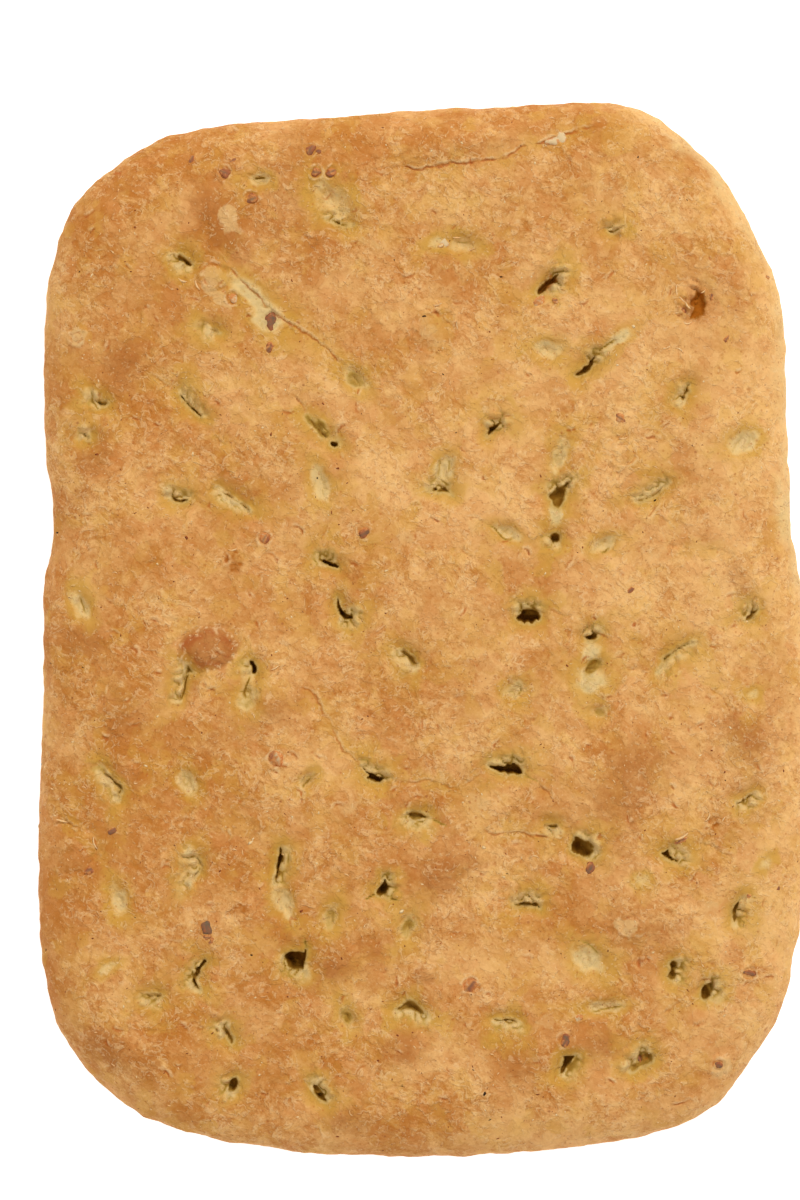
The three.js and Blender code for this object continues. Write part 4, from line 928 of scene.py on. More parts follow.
def press_dimple(crust, mark):
    """A closed mark: a pale lumpy dent with no mouth."""
    shade = mark[5]
    spot = Spot(crust, mark[:2], mark[2] / 2 + 7, mark[0])
    ripple = spot.noise(1.7, 45)
    puckers = np.abs(spot.noise(2.4, 48))
    share = ellipse_share(spot.x, spot.y, mark, 0.6) + 0.35 * spot.noise(2.8, 46)
    pale = smoothstep((1.45 - share) / 1.1)
    spot.lift(pale * (1.2 * puckers * min(1, 0.3 + 5 * shade) + 0.2 * ripple - 0.4))
    # Painted shade darkens the middle of the dent and the clefts between its puckers.
    dark = shade * smoothstep((0.95 - share) / 0.55) * (0.85 + 0.4 * ripple)
    cleft = min(0.28, 0.1 + shade) * pale * smoothstep((0.12 - puckers) / 0.1)
    spot.stain("hollow", np.maximum(dark, cleft))
    whiteness = 0.95 - 0.9 * max(0, shade - 0.15) if shade else 0.62
    spot.stain("pale", whiteness * pale)
    spot.stain("halo", smoothstep((2.9 - share) / 2.3))


def press_line(crust, strength, run):
    """A thin groove where two lips of dough have met, darkened with painted shade."""
    curve = smooth_run(run)
    spot = Spot(crust, curve, 2)
    distance, share, _ = distance_to_run(spot.x, spot.y, curve)
    taper = smoothstep(4 * share) * smoothstep(4 * (1 - share))
    groove = taper * bell((distance + 0.2 * spot.noise(1.2, 47)) / 0.3)
    spot.lift(-strength * groove)
    spot.stain("hollow", strength * groove)


def press_ring(crust, placed):
    """A low ring of skin round a grain or a small bubble."""
    centre_x, centre_y, diameter, strength = placed
    spot = Spot(crust, placed[:2], diameter)
    radius = np.hypot(spot.x - centre_x, spot.y - centre_y) * (1 + 0.26 * spot.noise(2.6, 51))
    crest = bell((radius - diameter / 2) / 0.42)
    moat = bell((radius - diameter / 2 + 0.8) / 0.4)
    spot.lift(strength * (0.45 * crest - 0.3 * moat))
    broken = smoothstep(0.5 + 1.5 * spot.noise(1.9, 52))
    spot.stain("band", 0.9 * strength * crest * broken)
    spot.stain("crease", 0.95 * strength * moat * broken)


def tear_skin(crust, tear):
    """A patch where the skin has torn and rough amber crumb shows."""
    spot = Spot(crust, tear[:2], max(tear[2:4]))
    rough = spot.noise(1.4, 61) + 0.6 * spot.noise(0.8, 62)
    share = ellipse_share(spot.x, spot.y, tear) + 0.3 * spot.noise(2.5, 63)
    inside = smoothstep((1.1 - share) / 0.5)
    spot.lift(tear[5] * inside * (0.7 * rough - 0.5))
    spot.stain("amber", inside * smoothstep(0.5 - 0.7 * rough))
    spot.stain("band", 0.9 * inside * smoothstep(rough - 0.3))


def thin_skin(crust, patch):
    """A patch of thin pale skin with a ragged edge that stands a little proud."""
    spot = Spot(crust, patch[:2], max(patch[2:4]))
    share = ellipse_share(spot.x, spot.y, patch)
    share = share + 0.5 * spot.noise(3, 65) + 0.25 * spot.noise(1.1, 66)
    covered = smoothstep((1.05 - share) / 0.25)
    edge = bell((share - 0.98) / 0.12)
    spot.lift(patch[5] * (0.16 * covered + 0.1 * edge))
    spot.stain("thin", patch[5] * covered)
    spot.stain("band", 0.6 * patch[5] * edge * smoothstep(0.5 + spot.noise(2, 67)))


def raise_blister(crust, blister):
    """The tucked edge of a gas bubble, and its colour, which is strongest round the edge."""
    centre_x, centre_y, length, _, _, rise, redness = blister
    spot = Spot(crust, blister[:2], length + 2)
    share = ellipse_share(spot.x, spot.y, blister)
    share = share + 0.12 * spot.noise(4, 71) + 0.09 * spot.noise(1.4, 72)
    tuck = bell((share - 1.04) / 0.09)
    lower_left = smoothstep((centre_x - spot.x + centre_y - spot.y) / length + 0.4)
    rim = (0.35 + 0.65 * lower_left) * bell((share - 0.84) / 0.26)
    pits = redness * smoothstep((1.1 - share) / 0.3)
    pits = pits * (spot.noise(2, 73) + 0.5 * spot.noise(0.9, 74))
    spot.lift(0.18 * pits - 0.35 * rise * tuck)
    spot.stain("blister", redness * smoothstep((1.28 - share) / 0.55) * (0.6 + 0.4 * rim))
    flecks = smoothstep((spot.noise(1, 75) - 0.22) / 0.15) * bell((share - 0.95) / 0.22)
    spot.stain("band", 0.9 * redness * flecks)


def patch_strength(x, y, patch):
    """How strongly a round patch [x, y, radius, strength] shows at each place."""
    return patch[3] * bump(np.hypot(x - patch[0], y - patch[1]) / patch[2])


def overall_bake(x, y):
    """How the loaf as a whole has browned: paler on the right, darker on the left and the far end."""
    far_end = smoothstep((y - 70) / 60)
    near_end = smoothstep((10 - y) / 60)
    left = smoothstep((-x - 10) / 90)
    right = smoothstep((x - 10) / 80)
    right_edge = smoothstep((x - 55) / 45)
    upper_middle = np.exp(-((x - 34) / 38) ** 2 - ((y - 40) / 36) ** 2)
    ends = 0.12 * far_end * (1 - 0.7 * right) + 0.05 * near_end * (1 - 2.4 * right_edge)
    bake = 0.09 * right + 0.07 * right_edge + 0.11 * upper_middle - 0.13 * left - ends
    for patch in PALER_PATCHES:
        bake += patch_strength(x, y, patch)
    return bake


def overall_browning(x, y):
    """How brown the proud and well baked parts of the crust are."""
    unbrowned = np.ones(len(x))
    for swell in BROWNED_SWELLS:
        unbrowned *= 1 - 0.55 * bump(ellipse_share(x, y, swell))
    for patch in BROWNED_PATCHES:
        unbrowned *= 1 - patch_strength(x, y, patch)
    return 1 - unbrowned


def crust_fields(form, x, y):
    """The fine relief and the stains at places on the crust."""
    crust = Crust(form, x, y)
    for fold, strength in zip(FOLDS, FOLD_STRENGTHS):
        press_crease(crust, fold, strength * form.crease_depth, 0.34, form.valley_depth, 1)
    for crease in CREASES:
        press_crease(crust, crease, 0.7 * form.crease_depth, 0.28, 0.5 * form.valley_depth, 0.8)
    for run, depth in random_wrinkles():
        press_crease(crust, run, depth, 0.38)
    for press, features in (
            (raise_blister, BLISTERS), (press_ring, RINGS), (tear_skin, AMBER_TEARS),
            (thin_skin, THIN_SKIN), (press_mouth, [*OPEN_HOLES, *SLITS])):
        for feature in features:
            press(crust, feature)
    press_mouth(crust, BURST_BLISTER, burst=1)
    for mark in [*CLOSED_MARKS, *FAINT_MARKS]:
        press_dimple(crust, mark)
    for strength, run in CLOSED_LINES:
        press_line(crust, strength, run)
    crust.fields["browned"] = np.maximum(crust.fields["browned"], overall_browning(x, y))
    return crust.fields


# The loaf's mesh


def draw_together(flat):
    """Draws grid points together round the marks and creases, so that these are finely cut."""
    x, y = flat[:, 0].copy(), flat[:, 1].copy()
    moved = flat.copy()
    for mark in [*OPEN_MARKS, *CLOSED_MARKS]:
        near = window(x, y, mark[:2], mark[2] / 2 + 8)
        along, across = on_axes(x[near] - mark[0], y[near] - mark[1], mark[4])
        share = (along / (mark[2] / 2 + 2.5)) ** 2 + (across / (mark[3] / 2 + 2.2)) ** 2
        pull = np.exp(-share)
        moved[near] += np.column_stack(on_axes(-0.25 * along * pull, -0.52 * across * pull, -mark[4]))
    for run in [*FOLDS, *CREASES]:
        curve = smooth_run(run)
        near = window(x, y, curve, 5)
        distance, _, foot = distance_to_run(x[near], y[near], curve)
        pull = 0.5 * bell(distance / 1.7)
        moved[near] += (foot - flat[near]) * pull[:, None]
    return moved


def border_sides(border, columns, rows):
    """The top, right, bottom and left sides of a closed border, each along its axis of the grid."""
    across, down = np.arange(columns + 1), np.arange(rows + 1)
    sides = (across, columns + down, 2 * columns + rows - across, (len(border) - down) % len(border))
    return [border[side] for side in sides]


def patch_grid(border, columns, rows):
    """The inside of a closed border of points, as a grid blended between its four sides."""
    top, right, bottom, left = border_sides(border, columns, rows)
    u = np.linspace(0, 1, columns + 1)[None, :, None]
    v = np.linspace(0, 1, rows + 1)[:, None, None]
    grid = top[None] * (1 - v) + bottom[None] * v + left[:, None] * (1 - u) + right[:, None] * u
    corners = (top[0] * (1 - u) + top[-1] * u) * (1 - v) + (bottom[0] * (1 - u) + bottom[-1] * u) * v
    return grid - corners


def grid_numbers(border_numbers, first_inner, columns, rows):
    """Vertex numbers of a patch grid whose border already has numbers."""
    numbers = np.empty((rows + 1, columns + 1), np.int64)
    inner = np.arange((rows - 1) * (columns - 1)).reshape(rows - 1, columns - 1)
    numbers[1:-1, 1:-1] = first_inner + inner
    sides = border_sides(border_numbers, columns, rows)
    numbers[0], numbers[:, -1], numbers[-1], numbers[:, 0] = sides
    return numbers


def grid_faces(numbers):
    """The grid's squares, wound clockwise as seen from above."""
    corners = (numbers[:-1, :-1], numbers[:-1, 1:], numbers[1:, 1:], numbers[1:, :-1])
    return np.stack(corners, axis=-1).reshape(-1, 4)


def fill_border_edges(face, first_border, count, multiple):
    """A coarse face's corners, with the fine border's points put in along its border edges."""
    filled = []
    for corner, following in zip(face, [*face[1:], face[0]]):
        filled.append(corner)
        start, end = corner - first_border, following - first_border
        on_border = 0 <= start < count and 0 <= end < count
        for way in (1, -1):
            if on_border and way * (end - start) % count == multiple:
                filled += [first_border + (start + way * k) % count for k in range(1, multiple)]
    return filled


def side_levels(form):
    """Bands down the side, as [inset, height over the smooth form or None for the crust's height]."""
    drop = shoulder_height(form, CRUST_INSET) - form.rim_height
    upper = math.ceil(drop / SIDE_STEP)
    levels = []
    for k in range(1, upper + 1):
        rise = (drop * (1 - k / upper)) / (form.plateau - form.rim_height)
        share = 1 - (1 - rise ** form.shoulder_roundness) ** (1 / form.shoulder_roundness)
        levels.append((form.shoulder_width * share, None))
    lower = math.ceil(form.rim_height * 1.3 / SIDE_STEP)
    for turn in np.linspace(0, math.pi / 2, lower + 1)[1:]:
        levels.append((form.base_inset * (1 - math.cos(turn)), form.rim_height * (1 - math.sin(turn))))
    return levels


def roughen(form, points, insets):
    """Moves the side's points by the skin's relief, out of the form and clear of the floor."""
    out = outward(points[:, 0], points[:, 1])
    upright = smoothstep(insets / 12)
    rough = form.skin_relief * (1.1 * noise(points, 6, 81) + 0.5 * noise(points, 2.6, 82))
    rough += SIDE_WRINKLE * noise(points * (0.3, 0.3, 1), 3, 83)
    grip = smoothstep(points[:, 2] / 4)
    points[:, :2] += out * (rough * (1 - upright) * grip)[:, None]
    return points


def crust_block(form, columns, rows):
    """Points and faces of the crust's grid, whose border comes first."""
    count = 2 * (columns + rows)
    border = ring(count, CRUST_INSET)
    inner = patch_grid(border, columns, rows)[1:-1, 1:-1].reshape(-1, 2)
    x, y = np.vstack([border, draw_together(inner)]).T
    insets = inset_at(x, y)
    insets[:count] = CRUST_INSET
    relief = crust_fields(form, x, y)["height"] * smoothstep((insets - 1) / 6)
    height = crust_height(form, x, y, insets) + relief
    points = roughen(form, np.column_stack([x, y, height]), insets)
    numbers = grid_numbers(np.arange(count), count, columns, rows)
    return points, grid_faces(numbers)[:, ::-1]


def side_band(form, count, inset, level):
    """One ring of points round the side, at a level or on the crust."""
    flat = ring(count, inset)
    if level is None:
        skin = form.skin_relief * wrinkled_skin(flat_points(*flat.T))
        level = crust_height(form, *flat.T, np.full(count, inset)) + skin * smoothstep((inset - 1) / 6)
    band = np.column_stack([flat, np.broadcast_to(level, count)])
    return roughen(form, band, np.full(count, inset))


def base_points(form, border, columns, rows):
    """Points inside the base's border: flat, with shallow hollows well inside it."""
    flat = flat_points(*patch_grid(border, columns, rows)[1:-1, 1:-1].reshape(-1, 2).T)
    hollow = 0.5 * noise(flat, 22, 91) + 0.2 * noise(flat, 7, 92)
    inside = smoothstep((inset_at(*flat[:, :2].T) - form.base_inset) / 10)
    flat[:, 2] = np.maximum(hollow - 0.1, 0) * inside
    return flat


def loaf_arrays(form):
    """The loaf's points and faces before it is thinned."""
    columns, rows = GRID_COLUMNS * form.grid_multiple, GRID_ROWS * form.grid_multiple
    count = 2 * (columns + rows)
    crust, crust_faces = crust_block(form, columns, rows)
    points, faces = [crust], crust_faces.tolist()
    upper = np.arange(count)
    placed = len(crust)
    for inset, level in side_levels(form):
        points.append(side_band(form, count, inset, level))
        lower = placed + np.arange(count)
        faces += np.column_stack([upper, np.roll(upper, -1), np.roll(lower, -1), lower]).tolist()
        upper = lower
        placed += count

    multiple = form.grid_multiple // math.gcd(form.grid_multiple, BASE_MULTIPLE)
    columns, rows = columns // multiple, rows // multiple
    points.append(base_points(form, points[-1][::multiple, :2], columns, rows))
    numbers = grid_numbers(upper[::multiple], placed, columns, rows)
    faces += [fill_border_edges(list(face), upper[0], count, multiple) for face in grid_faces(numbers)]
    return np.vstack(points), faces


def store_fields(mesh, fields):
    """Stores values for each of the mesh's points, under the names that its material reads."""
    for name, values in fields.items():
        layer = mesh.attributes.new(name=name, type="FLOAT", domain="POINT")
        layer.data.foreach_set("value", np.array(values, np.float32))


def stain_mesh(form, mesh):
    """Works the stains out again at the points that are left, and stores them."""
    places = np.empty(len(mesh.vertices) * 3, np.float32)
    mesh.vertices.foreach_get("co", places)
    points = places.reshape(-1, 3).astype(float) / MM
    fields = crust_fields(form, points[:, 0], points[:, 1])
    above = smoothstep((points[:, 2] - form.rim_height) / 3.5)
    for name in STAINS:
        fields[name] = fields[name] * above
    low = 1 - smoothstep((points[:, 2] - 8) / 9)
    out = outward(points[:, 0], points[:, 1])
    rightness = smoothstep((out[:, 0] + 0.1) / 0.9) * smoothstep((points[:, 1] + 60) / 90)
    flat = flat_points(*points[:, :2].T)
    ragged = 2.4 * noise(flat, 11, 84) + 1.2 * noise(flat, 4, 85)
    edge = 1 - smoothstep((inset_at(points[:, 0], points[:, 1]) - 1 + ragged) / 6)
    fields["side"] = np.maximum(low, edge * (0.35 + 0.65 * rightness)) * (0.4 + 0.6 * rightness)
    fields["side"] *= 1 - 0.3 * (1 - low) * smoothstep(0.5 + noise(points, 14, 86))
    fields["under"] = 1 - smoothstep(points[:, 2] / (3 + 1.5 * noise(points, 12, 87)))
    store_fields(mesh, {name: fields[name] for name in STAINS})


def thin(piece, budget):
    """Collapses the mesh's flattest edges until the budget of triangles is met."""
    triangles = sum(polygon.loop_total - 2 for polygon in piece.data.polygons)
    thinning = piece.modifiers.new("thin", "DECIMATE")
    thinning.ratio = min(1, budget / triangles)
    evaluated = piece.evaluated_get(bpy.context.evaluated_depsgraph_get())
    thinned = bpy.data.meshes.new_from_object(evaluated)
    coarse = piece.data
    piece.modifiers.clear()
    piece.data = thinned
    bpy.data.meshes.remove(coarse)


def add_object(name, data, place=(0, 0, 0)):
    """A new object in the scene, at a place in metres."""
    made = bpy.data.objects.new(name, data)
    made.location = place
    bpy.context.scene.collection.objects.link(made)
    return made


def new_piece(name, points, faces, material):
    """A new smooth-shaded mesh object from points in millimetres."""
    mesh = bpy.data.meshes.new(name)
    mesh.from_pydata((np.asarray(points) * MM).tolist(), [], faces)
    mesh.materials.append(material)
    mesh.shade_smooth()
    mesh.update()
    return add_object(name, mesh)


# Materials


def add_node(tree, kind, values=None, **settings):
    """Adds a node. Values go to its inputs: a socket is linked, and anything else is set."""
    made = tree.nodes.new(kind)
    for key, setting in settings.items():
        setattr(made, key, setting)
    for key, value in (values or {}).items():
        if isinstance(value, bpy.types.NodeSocket):
            tree.links.new(value, made.inputs[key])
        else:
            made.inputs[key].default_value = value
    return made


def new_material(name, roughness, specular):
    """An empty material with its shader, and the place on the piece in millimetres."""
    material = bpy.data.materials.new(name)
    material.use_nodes = True
    tree = material.node_tree
    tree.nodes.clear()
    shader = add_node(tree, "ShaderNodeBsdfPrincipled", {
        "Roughness": roughness, "Specular IOR Level": specular,
    })
    output = add_node(tree, "ShaderNodeOutputMaterial")
    tree.links.new(shader.outputs["BSDF"], output.inputs["Surface"])
    place = add_node(tree, "ShaderNodeTexCoord")
    scaled = add_node(tree, "ShaderNodeVectorMath", {0: place.outputs["Object"], "Scale": 1 / MM},
                      operation="SCALE")
    return material, tree, shader, scaled.outputs["Vector"]


def mottle(tree, place, feature, detail=2, roughness=0.5, distortion=0):
    """Noise of about 0 to 1 with features of the given size."""
    made = add_node(tree, "ShaderNodeTexNoise", {
        "Vector": place, "Scale": 1 / feature, "Detail": detail, "Roughness": roughness,
        "Distortion": distortion,
    })
    return made.outputs["Fac"]


def between(tree, value, low, high, reach=1):
    """0 where the value is low, rising smoothly to reach where it is high."""
    made = add_node(tree, "ShaderNodeMapRange", {
        "Value": value, "From Min": low, "From Max": high, "To Min": 0, "To Max": reach,
    }, interpolation_type="SMOOTHSTEP")
    return made.outputs["Result"]


def weigh(tree, start, *terms):
    """Start, with each value in turn added by its weight."""
    total = start
    for value, weight in terms:
        total = calculate(tree, "MULTIPLY_ADD", value, weight, total)
    return total


def calculate(tree, operation, first, second=0, third=0):
    made = add_node(tree, "ShaderNodeMath", {0: first, 1: second, 2: third}, operation=operation)
    return made.outputs["Value"]


def mix(tree, amount, first, second):
    """A mix of two colours, each a socket or three values."""
    values = {0: amount}
    for key, colour in ((6, first), (7, second)):
        values[key] = colour if isinstance(colour, bpy.types.NodeSocket) else (*colour, 1)
    made = add_node(tree, "ShaderNodeMix", values, data_type="RGBA")
    return made.outputs[2]


def cover(tree, under, over, value, low, high, reach=1):
    """One colour laid over another where a value is high."""
    return mix(tree, between(tree, value, low, high, reach), under, over)


def stored(tree, name):
    """The field of that name, read from the mesh."""
    made = add_node(tree, "ShaderNodeAttribute", attribute_name=name)
    return made.outputs["Fac"]


def specks(tree, place, spacing, size, chance):
    """Round specks in a share of the cells of a grid of scattered points."""
    grid = add_node(tree, "ShaderNodeTexVoronoi", {"Vector": place, "Scale": 1 / spacing})
    chosen = add_node(tree, "ShaderNodeSeparateColor", {0: grid.outputs["Color"]})
    picked = calculate(tree, "LESS_THAN", chosen.outputs["Red"], chance)
    far = between(tree, grid.outputs["Distance"], 0.5 * size / spacing, size / spacing)
    near = calculate(tree, "SUBTRACT", 1, far)
    return calculate(tree, "MULTIPLY", picked, near)


def bent(tree, place, feature, drift):
    """The place moved about by noise, so that what is drawn on it is not straight."""
    bend = add_node(tree, "ShaderNodeTexNoise", {"Vector": place, "Scale": 1 / feature, "Detail": 1})
    moved = add_node(tree, "ShaderNodeVectorMath", {0: bend.outputs["Color"], "Scale": drift},
                     operation="SCALE")
    total = add_node(tree, "ShaderNodeVectorMath", {0: place, 1: moved.outputs["Vector"]})
    return total.outputs["Vector"]


def contour(tree, value, level, width, shown):
    """A thin curved line, of 0 to 1, where a value passes a level."""
    away = calculate(tree, "ABSOLUTE", calculate(tree, "SUBTRACT", value, level))
    return calculate(tree, "MULTIPLY", between(tree, away, width, 0.3 * width), shown)


def cells(tree, place, spacing):
    """Two random values, each the same all over a soft-edged cell."""
    made = add_node(tree, "ShaderNodeTexVoronoi", {
        "Vector": place, "Scale": 1 / spacing, "Smoothness": 0.35,
    }, feature="SMOOTH_F1")
    parts = add_node(tree, "ShaderNodeSeparateColor", {0: made.outputs["Color"]})
    return parts.outputs["Red"], parts.outputs["Green"]


def crust_noises(tree, place):
    """What more than one layer of the crust reads: noises of about 0 to 1, and where skin has slipped."""
    loose = bent(tree, place, 7, 3)
    flow = add_node(tree, "ShaderNodeMapping", {
        "Vector": bent(tree, place, 14, 6), "Rotation": (0, 0, math.radians(-32)), "Scale": (1.25, 0.9, 1),
    }, vector_type="TEXTURE").outputs["Vector"]
    tone, tint = cells(tree, bent(tree, place, 2.4, 2.6), 4.5)
    activity = between(tree, mottle(tree, place, 13, 2), 0.36, 0.62)
    wrinkled = mottle(tree, loose, 3.2, 3, 0.6, 0.5)
    shown = weigh(tree, -0.1, (mottle(tree, flow, 1.9, 2), 1), (activity, 0.14),
                  (stored(tree, "blister"), -0.1))
    return SimpleNamespace(
        flow=flow,
        tone=tone,
        tint=tint,
        broad=mottle(tree, place, 24, 1, 0.6),
        lumps=mottle(tree, flow, 3.2, 4, 0.95, 0.3),
        ragged=mottle(tree, place, 3.2, 4, 0.75),
        grit=mottle(tree, place, 0.9, 2, 0.9),
        skin=between(tree, mottle(tree, loose, 4.5, 4, 0.6), 0.5, 0.53),
        slips=between(tree, wrinkled, 0.47, 0.53),
        # Light and dark: a painted highlight and a painted shadow along the slipped skin's steps.
        light=contour(tree, wrinkled, 0.53, 0.04, between(tree, shown, 0.46, 0.56)),
        dark=contour(tree, wrinkled, 0.47, 0.035, between(tree, shown, 0.5, 0.6)),
        busy=weigh(tree, 0.5, (activity, 1), (stored(tree, "pale"), -0.25)),
    )


def baked_colour(tree, place, colours, look):
    """The crust from its darkest to its lightest, with yellower and pinker areas."""
    uneven = calculate(tree, "MULTIPLY", calculate(tree, "SUBTRACT", look.lumps, 0.5), look.busy)
    bake = weigh(tree, -0.34, (look.broad, 1), (uneven, 1.25), (look.grit, 0.36), (look.tone, 0.12),
                 (look.skin, 0.1), (look.slips, 0.08), (stored(tree, "bake"), 1))
    colour = cover(tree, colours.dark_crust, colours.light_crust, bake, 0, 1)
    hue = weigh(tree, -0.2, (mottle(tree, place, 9, 3, 0.6), 1), (look.tint, 0.4))
    colour = cover(tree, colour, colours.yellow_crust, hue, 0.45, 0.8, 0.36)
    return cover(tree, colour, colours.pink_crust, hue, 0.5, 0.15, 0.36)


def lay_browning(tree, colour, colours, look):
    """Browned swells, the red brown blister and the pale skin that rolls over the side."""
    browned = weigh(tree, -0.68, (stored(tree, "browned"), 1), (look.ragged, 1.2), (look.tone, 0.1),
                    (look.lumps, -0.35), (look.grit, 0.4))
    colour = cover(tree, colour, colours.brown_crust, browned, 0.05, 1, 0.92)
    blister = weigh(tree, -0.45, (stored(tree, "blister"), 1), (look.ragged, 0.9))
    colour = cover(tree, colour, colours.blister_brown, blister, 0, 0.6, 0.9)
    colour = cover(tree, colour, colours.blister_red, blister, 0.55, 0.95, 0.9)
    side = weigh(tree, -0.5, (stored(tree, "side"), 1), (look.ragged, 0.6), (look.lumps, 0.4))
    warmth = weigh(tree, 0, (look.ragged, 0.6), (look.broad, 0.4), (look.grit, 0.2))
    rolled = cover(tree, colours.side, colours.light_crust, warmth, 0.46, 0.7, 0.8)
    return cover(tree, colour, rolled, side, 0.1, 1, 0.8)


def lay_dough(tree, colour, place, colours, look):
    """Thin skin, the yellow rings round the marks and the pale dough laid bare beside them."""
    thin = weigh(tree, -0.5, (stored(tree, "thin"), 1), (look.ragged, 1))
    colour = cover(tree, colour, colours.thin_skin, thin, 0.2, 0.8, 0.75)
    halo = weigh(tree, -0.5, (stored(tree, "halo"), 1), (look.ragged, 0.6), (look.tint, 0.4))
    colour = cover(tree, colour, colours.halo, halo, 0, 1, 0.7)
    pale = weigh(tree, -0.7, (stored(tree, "pale"), 1), (look.ragged, 0.9), (look.lumps, 0.5))
    colour = cover(tree, colour, colours.pale_dough, pale, 0.1, 0.9, 0.95)
    greyness = weigh(tree, -0.5, (pale, 1), (mottle(tree, place, 1.8, 2), 0.5))
    return cover(tree, colour, colours.grey_dough, greyness, 0.3, 0.8, 0.5)


def lay_lines(tree, colour, place, colours, look):
    """Pale lifted skin and dark creases, partly painted highlight and shade, and fine dots."""
    banded = weigh(tree, -0.4, (stored(tree, "band"), 1), (look.grit, 0.8))
    lifted_and_highlit = calculate(tree, "MAXIMUM", between(tree, banded, 0.1, 0.8, 0.6),
                         calculate(tree, "MULTIPLY", look.light, 0.34))
    colour = mix(tree, lifted_and_highlit, colour, colours.fold_light)
    creased = weigh(tree, -0.5, (stored(tree, "crease"), 1), (look.ragged, 0.8))
    creased_and_shaded = calculate(tree, "MAXIMUM", between(tree, creased, 0.1, 0.8, 0.75),
                      calculate(tree, "MULTIPLY", look.dark, 0.2))
    colour = mix(tree, creased_and_shaded, colour, colours.fold)
    for name, spacing, size, chance, strength in DOTS:
        dots = calculate(tree, "MULTIPLY", specks(tree, place, spacing, size, chance), strength)
        colour = mix(tree, dots, colour, getattr(colours, name))
    return colour


def lay_base_and_holes(tree, colour, colours, look):
    """The scorched base, painted shade in and beside the marks, and amber crumb under torn skin."""
    under = weigh(tree, -0.35, (stored(tree, "under"), 1), (look.ragged, 0.7))
    toasted = weigh(tree, -0.35, (look.broad, 0.9), (look.ragged, 0.5), (look.grit, 0.3))
    scorch = cover(tree, colours.underside, colours.brown_crust, toasted, 0.25, 0.75, 0.8)
    colour = cover(tree, colour, scorch, under, 0.2, 0.9, 0.9)
    hollow = stored(tree, "hollow")
    colour = cover(tree, colour, colours.hollow_shade_light, hollow, 0, 0.4)
    colour = cover(tree, colour, colours.hollow_shade_brown, hollow, 0.2, 0.6)
    colour = cover(tree, colour, colours.hollow_shade_dark, hollow, 0.6, 1)
    amber = calculate(tree, "MULTIPLY", stored(tree, "amber"), 0.92)
    return mix(tree, amber, colour, colours.amber)


def link_relief(tree, shader, height, strength, millimetres):
    """Bumps the surface by a height of about 0 to 1."""
    relief = add_node(tree, "ShaderNodeBump", {
        "Strength": strength, "Distance": millimetres * MM, "Height": height,
    })
    tree.links.new(relief.outputs["Normal"], shader.inputs["Normal"])


def crust_material(colours):
    material, tree, shader, place = new_material("baked_crust", 0.75, 0.12)
    look = crust_noises(tree, place)
    colour = baked_colour(tree, place, colours, look)
    colour = lay_browning(tree, colour, colours, look)
    colour = lay_dough(tree, colour, place, colours, look)
    colour = lay_lines(tree, colour, place, colours, look)
    colour = lay_base_and_holes(tree, colour, colours, look)
    tree.links.new(colour, shader.inputs["Base Color"])

    lumps = calculate(tree, "MULTIPLY", mottle(tree, look.flow, 3.4, 4, 0.5, 0.4), look.busy)
    height = weigh(tree, 0, (lumps, 1.8), (look.grit, 0.14), (look.skin, 0.4), (look.slips, 0.25),
                   (look.light, 0.14), (look.dark, -0.1))
    link_relief(tree, shader, height, 0.8, 0.3)
    return material


def speck_material(name, colour, dark, roughness=0.7):
    """A finish for small loose pieces: its colour, mottled towards a darker one."""
    material, tree, shader, place = new_material(name, roughness, 0.1)
    patches = between(tree, mottle(tree, place, 0.5, 2), 0.35, 0.7)
    tree.links.new(mix(tree, patches, colour, dark), shader.inputs["Base Color"])
    return material


def grain_material(colours):
    material, tree, shader, place = new_material("whole_grain", 0.75, 0.08)
    streaks = mottle(tree, place, 1.9, 3, 0.6, 0.6)
    toned = calculate(tree, "MULTIPLY_ADD", stored(tree, "tone"), 0.22, -0.11)
    shade = calculate(tree, "SUBTRACT", streaks, toned)
    colour = cover(tree, colours.grain_dark, colours.grain_red, shade, 0.22, 0.42)
    colour = cover(tree, colour, colours.pink_crust, shade, 0.42, 0.6)
    colour = cover(tree, colour, colours.grain_cream, shade, 0.6, 0.76)
    browned = between(tree, stored(tree, "tone"), -0.2, 0.5, 0.8)
    seam = calculate(tree, "MULTIPLY", stored(tree, "seam"), browned)
    colour = mix(tree, seam, colour, colours.grain_dark)
    tree.links.new(colour, shader.inputs["Base Color"])
    link_relief(tree, shader, streaks, 0.6, 0.2)
    return material


# Small pieces on the crust


def start_laying(context, seed):
    """The sizes, the colours, the loaf to lay small pieces on, and the source of random numbers."""
    loaf = bpy.data.objects.get(LOAF)
    if loaf is None:
        raise RuntimeError("Build the loaf first: the other pieces lie on it.")
    tree = BVHTree.FromObject(loaf, context.evaluated_depsgraph_get())
    form = sizes_of(context.scene.schiacciata_form)
    return form, context.scene.schiacciata_colours, tree, np.random.default_rng(SEEDS[seed])


def seat(tree, origin, heading):
    """The loaf's place and normal, in millimetres, where a ray meets it, or None."""
    place, normal, _, _ = tree.ray_cast(Vector([part * MM for part in origin]), Vector(heading))
    return None if place is None else (np.array(place) / MM, np.array(normal))


def seat_from_above(tree, x, y):
    return seat(tree, (x, y, ABOVE), (0, 0, -1))


def seat_under(tree, x, y):
    """The seat under a point that has to be over the crust."""
    found = seat_from_above(tree, x, y)
    if found is None:
        raise RuntimeError(f"No crust under {x}, {y}")
    return found


def seat_from_side(tree, start, height):
    """The seat on the side, beside a point of the outline at a height."""
    away = outward(start[None, 0], start[None, 1])[0]
    origin = (start[0] + BESIDE * away[0], start[1] + BESIDE * away[1], height)
    return seat(tree, origin, (-away[0], -away[1], 0))


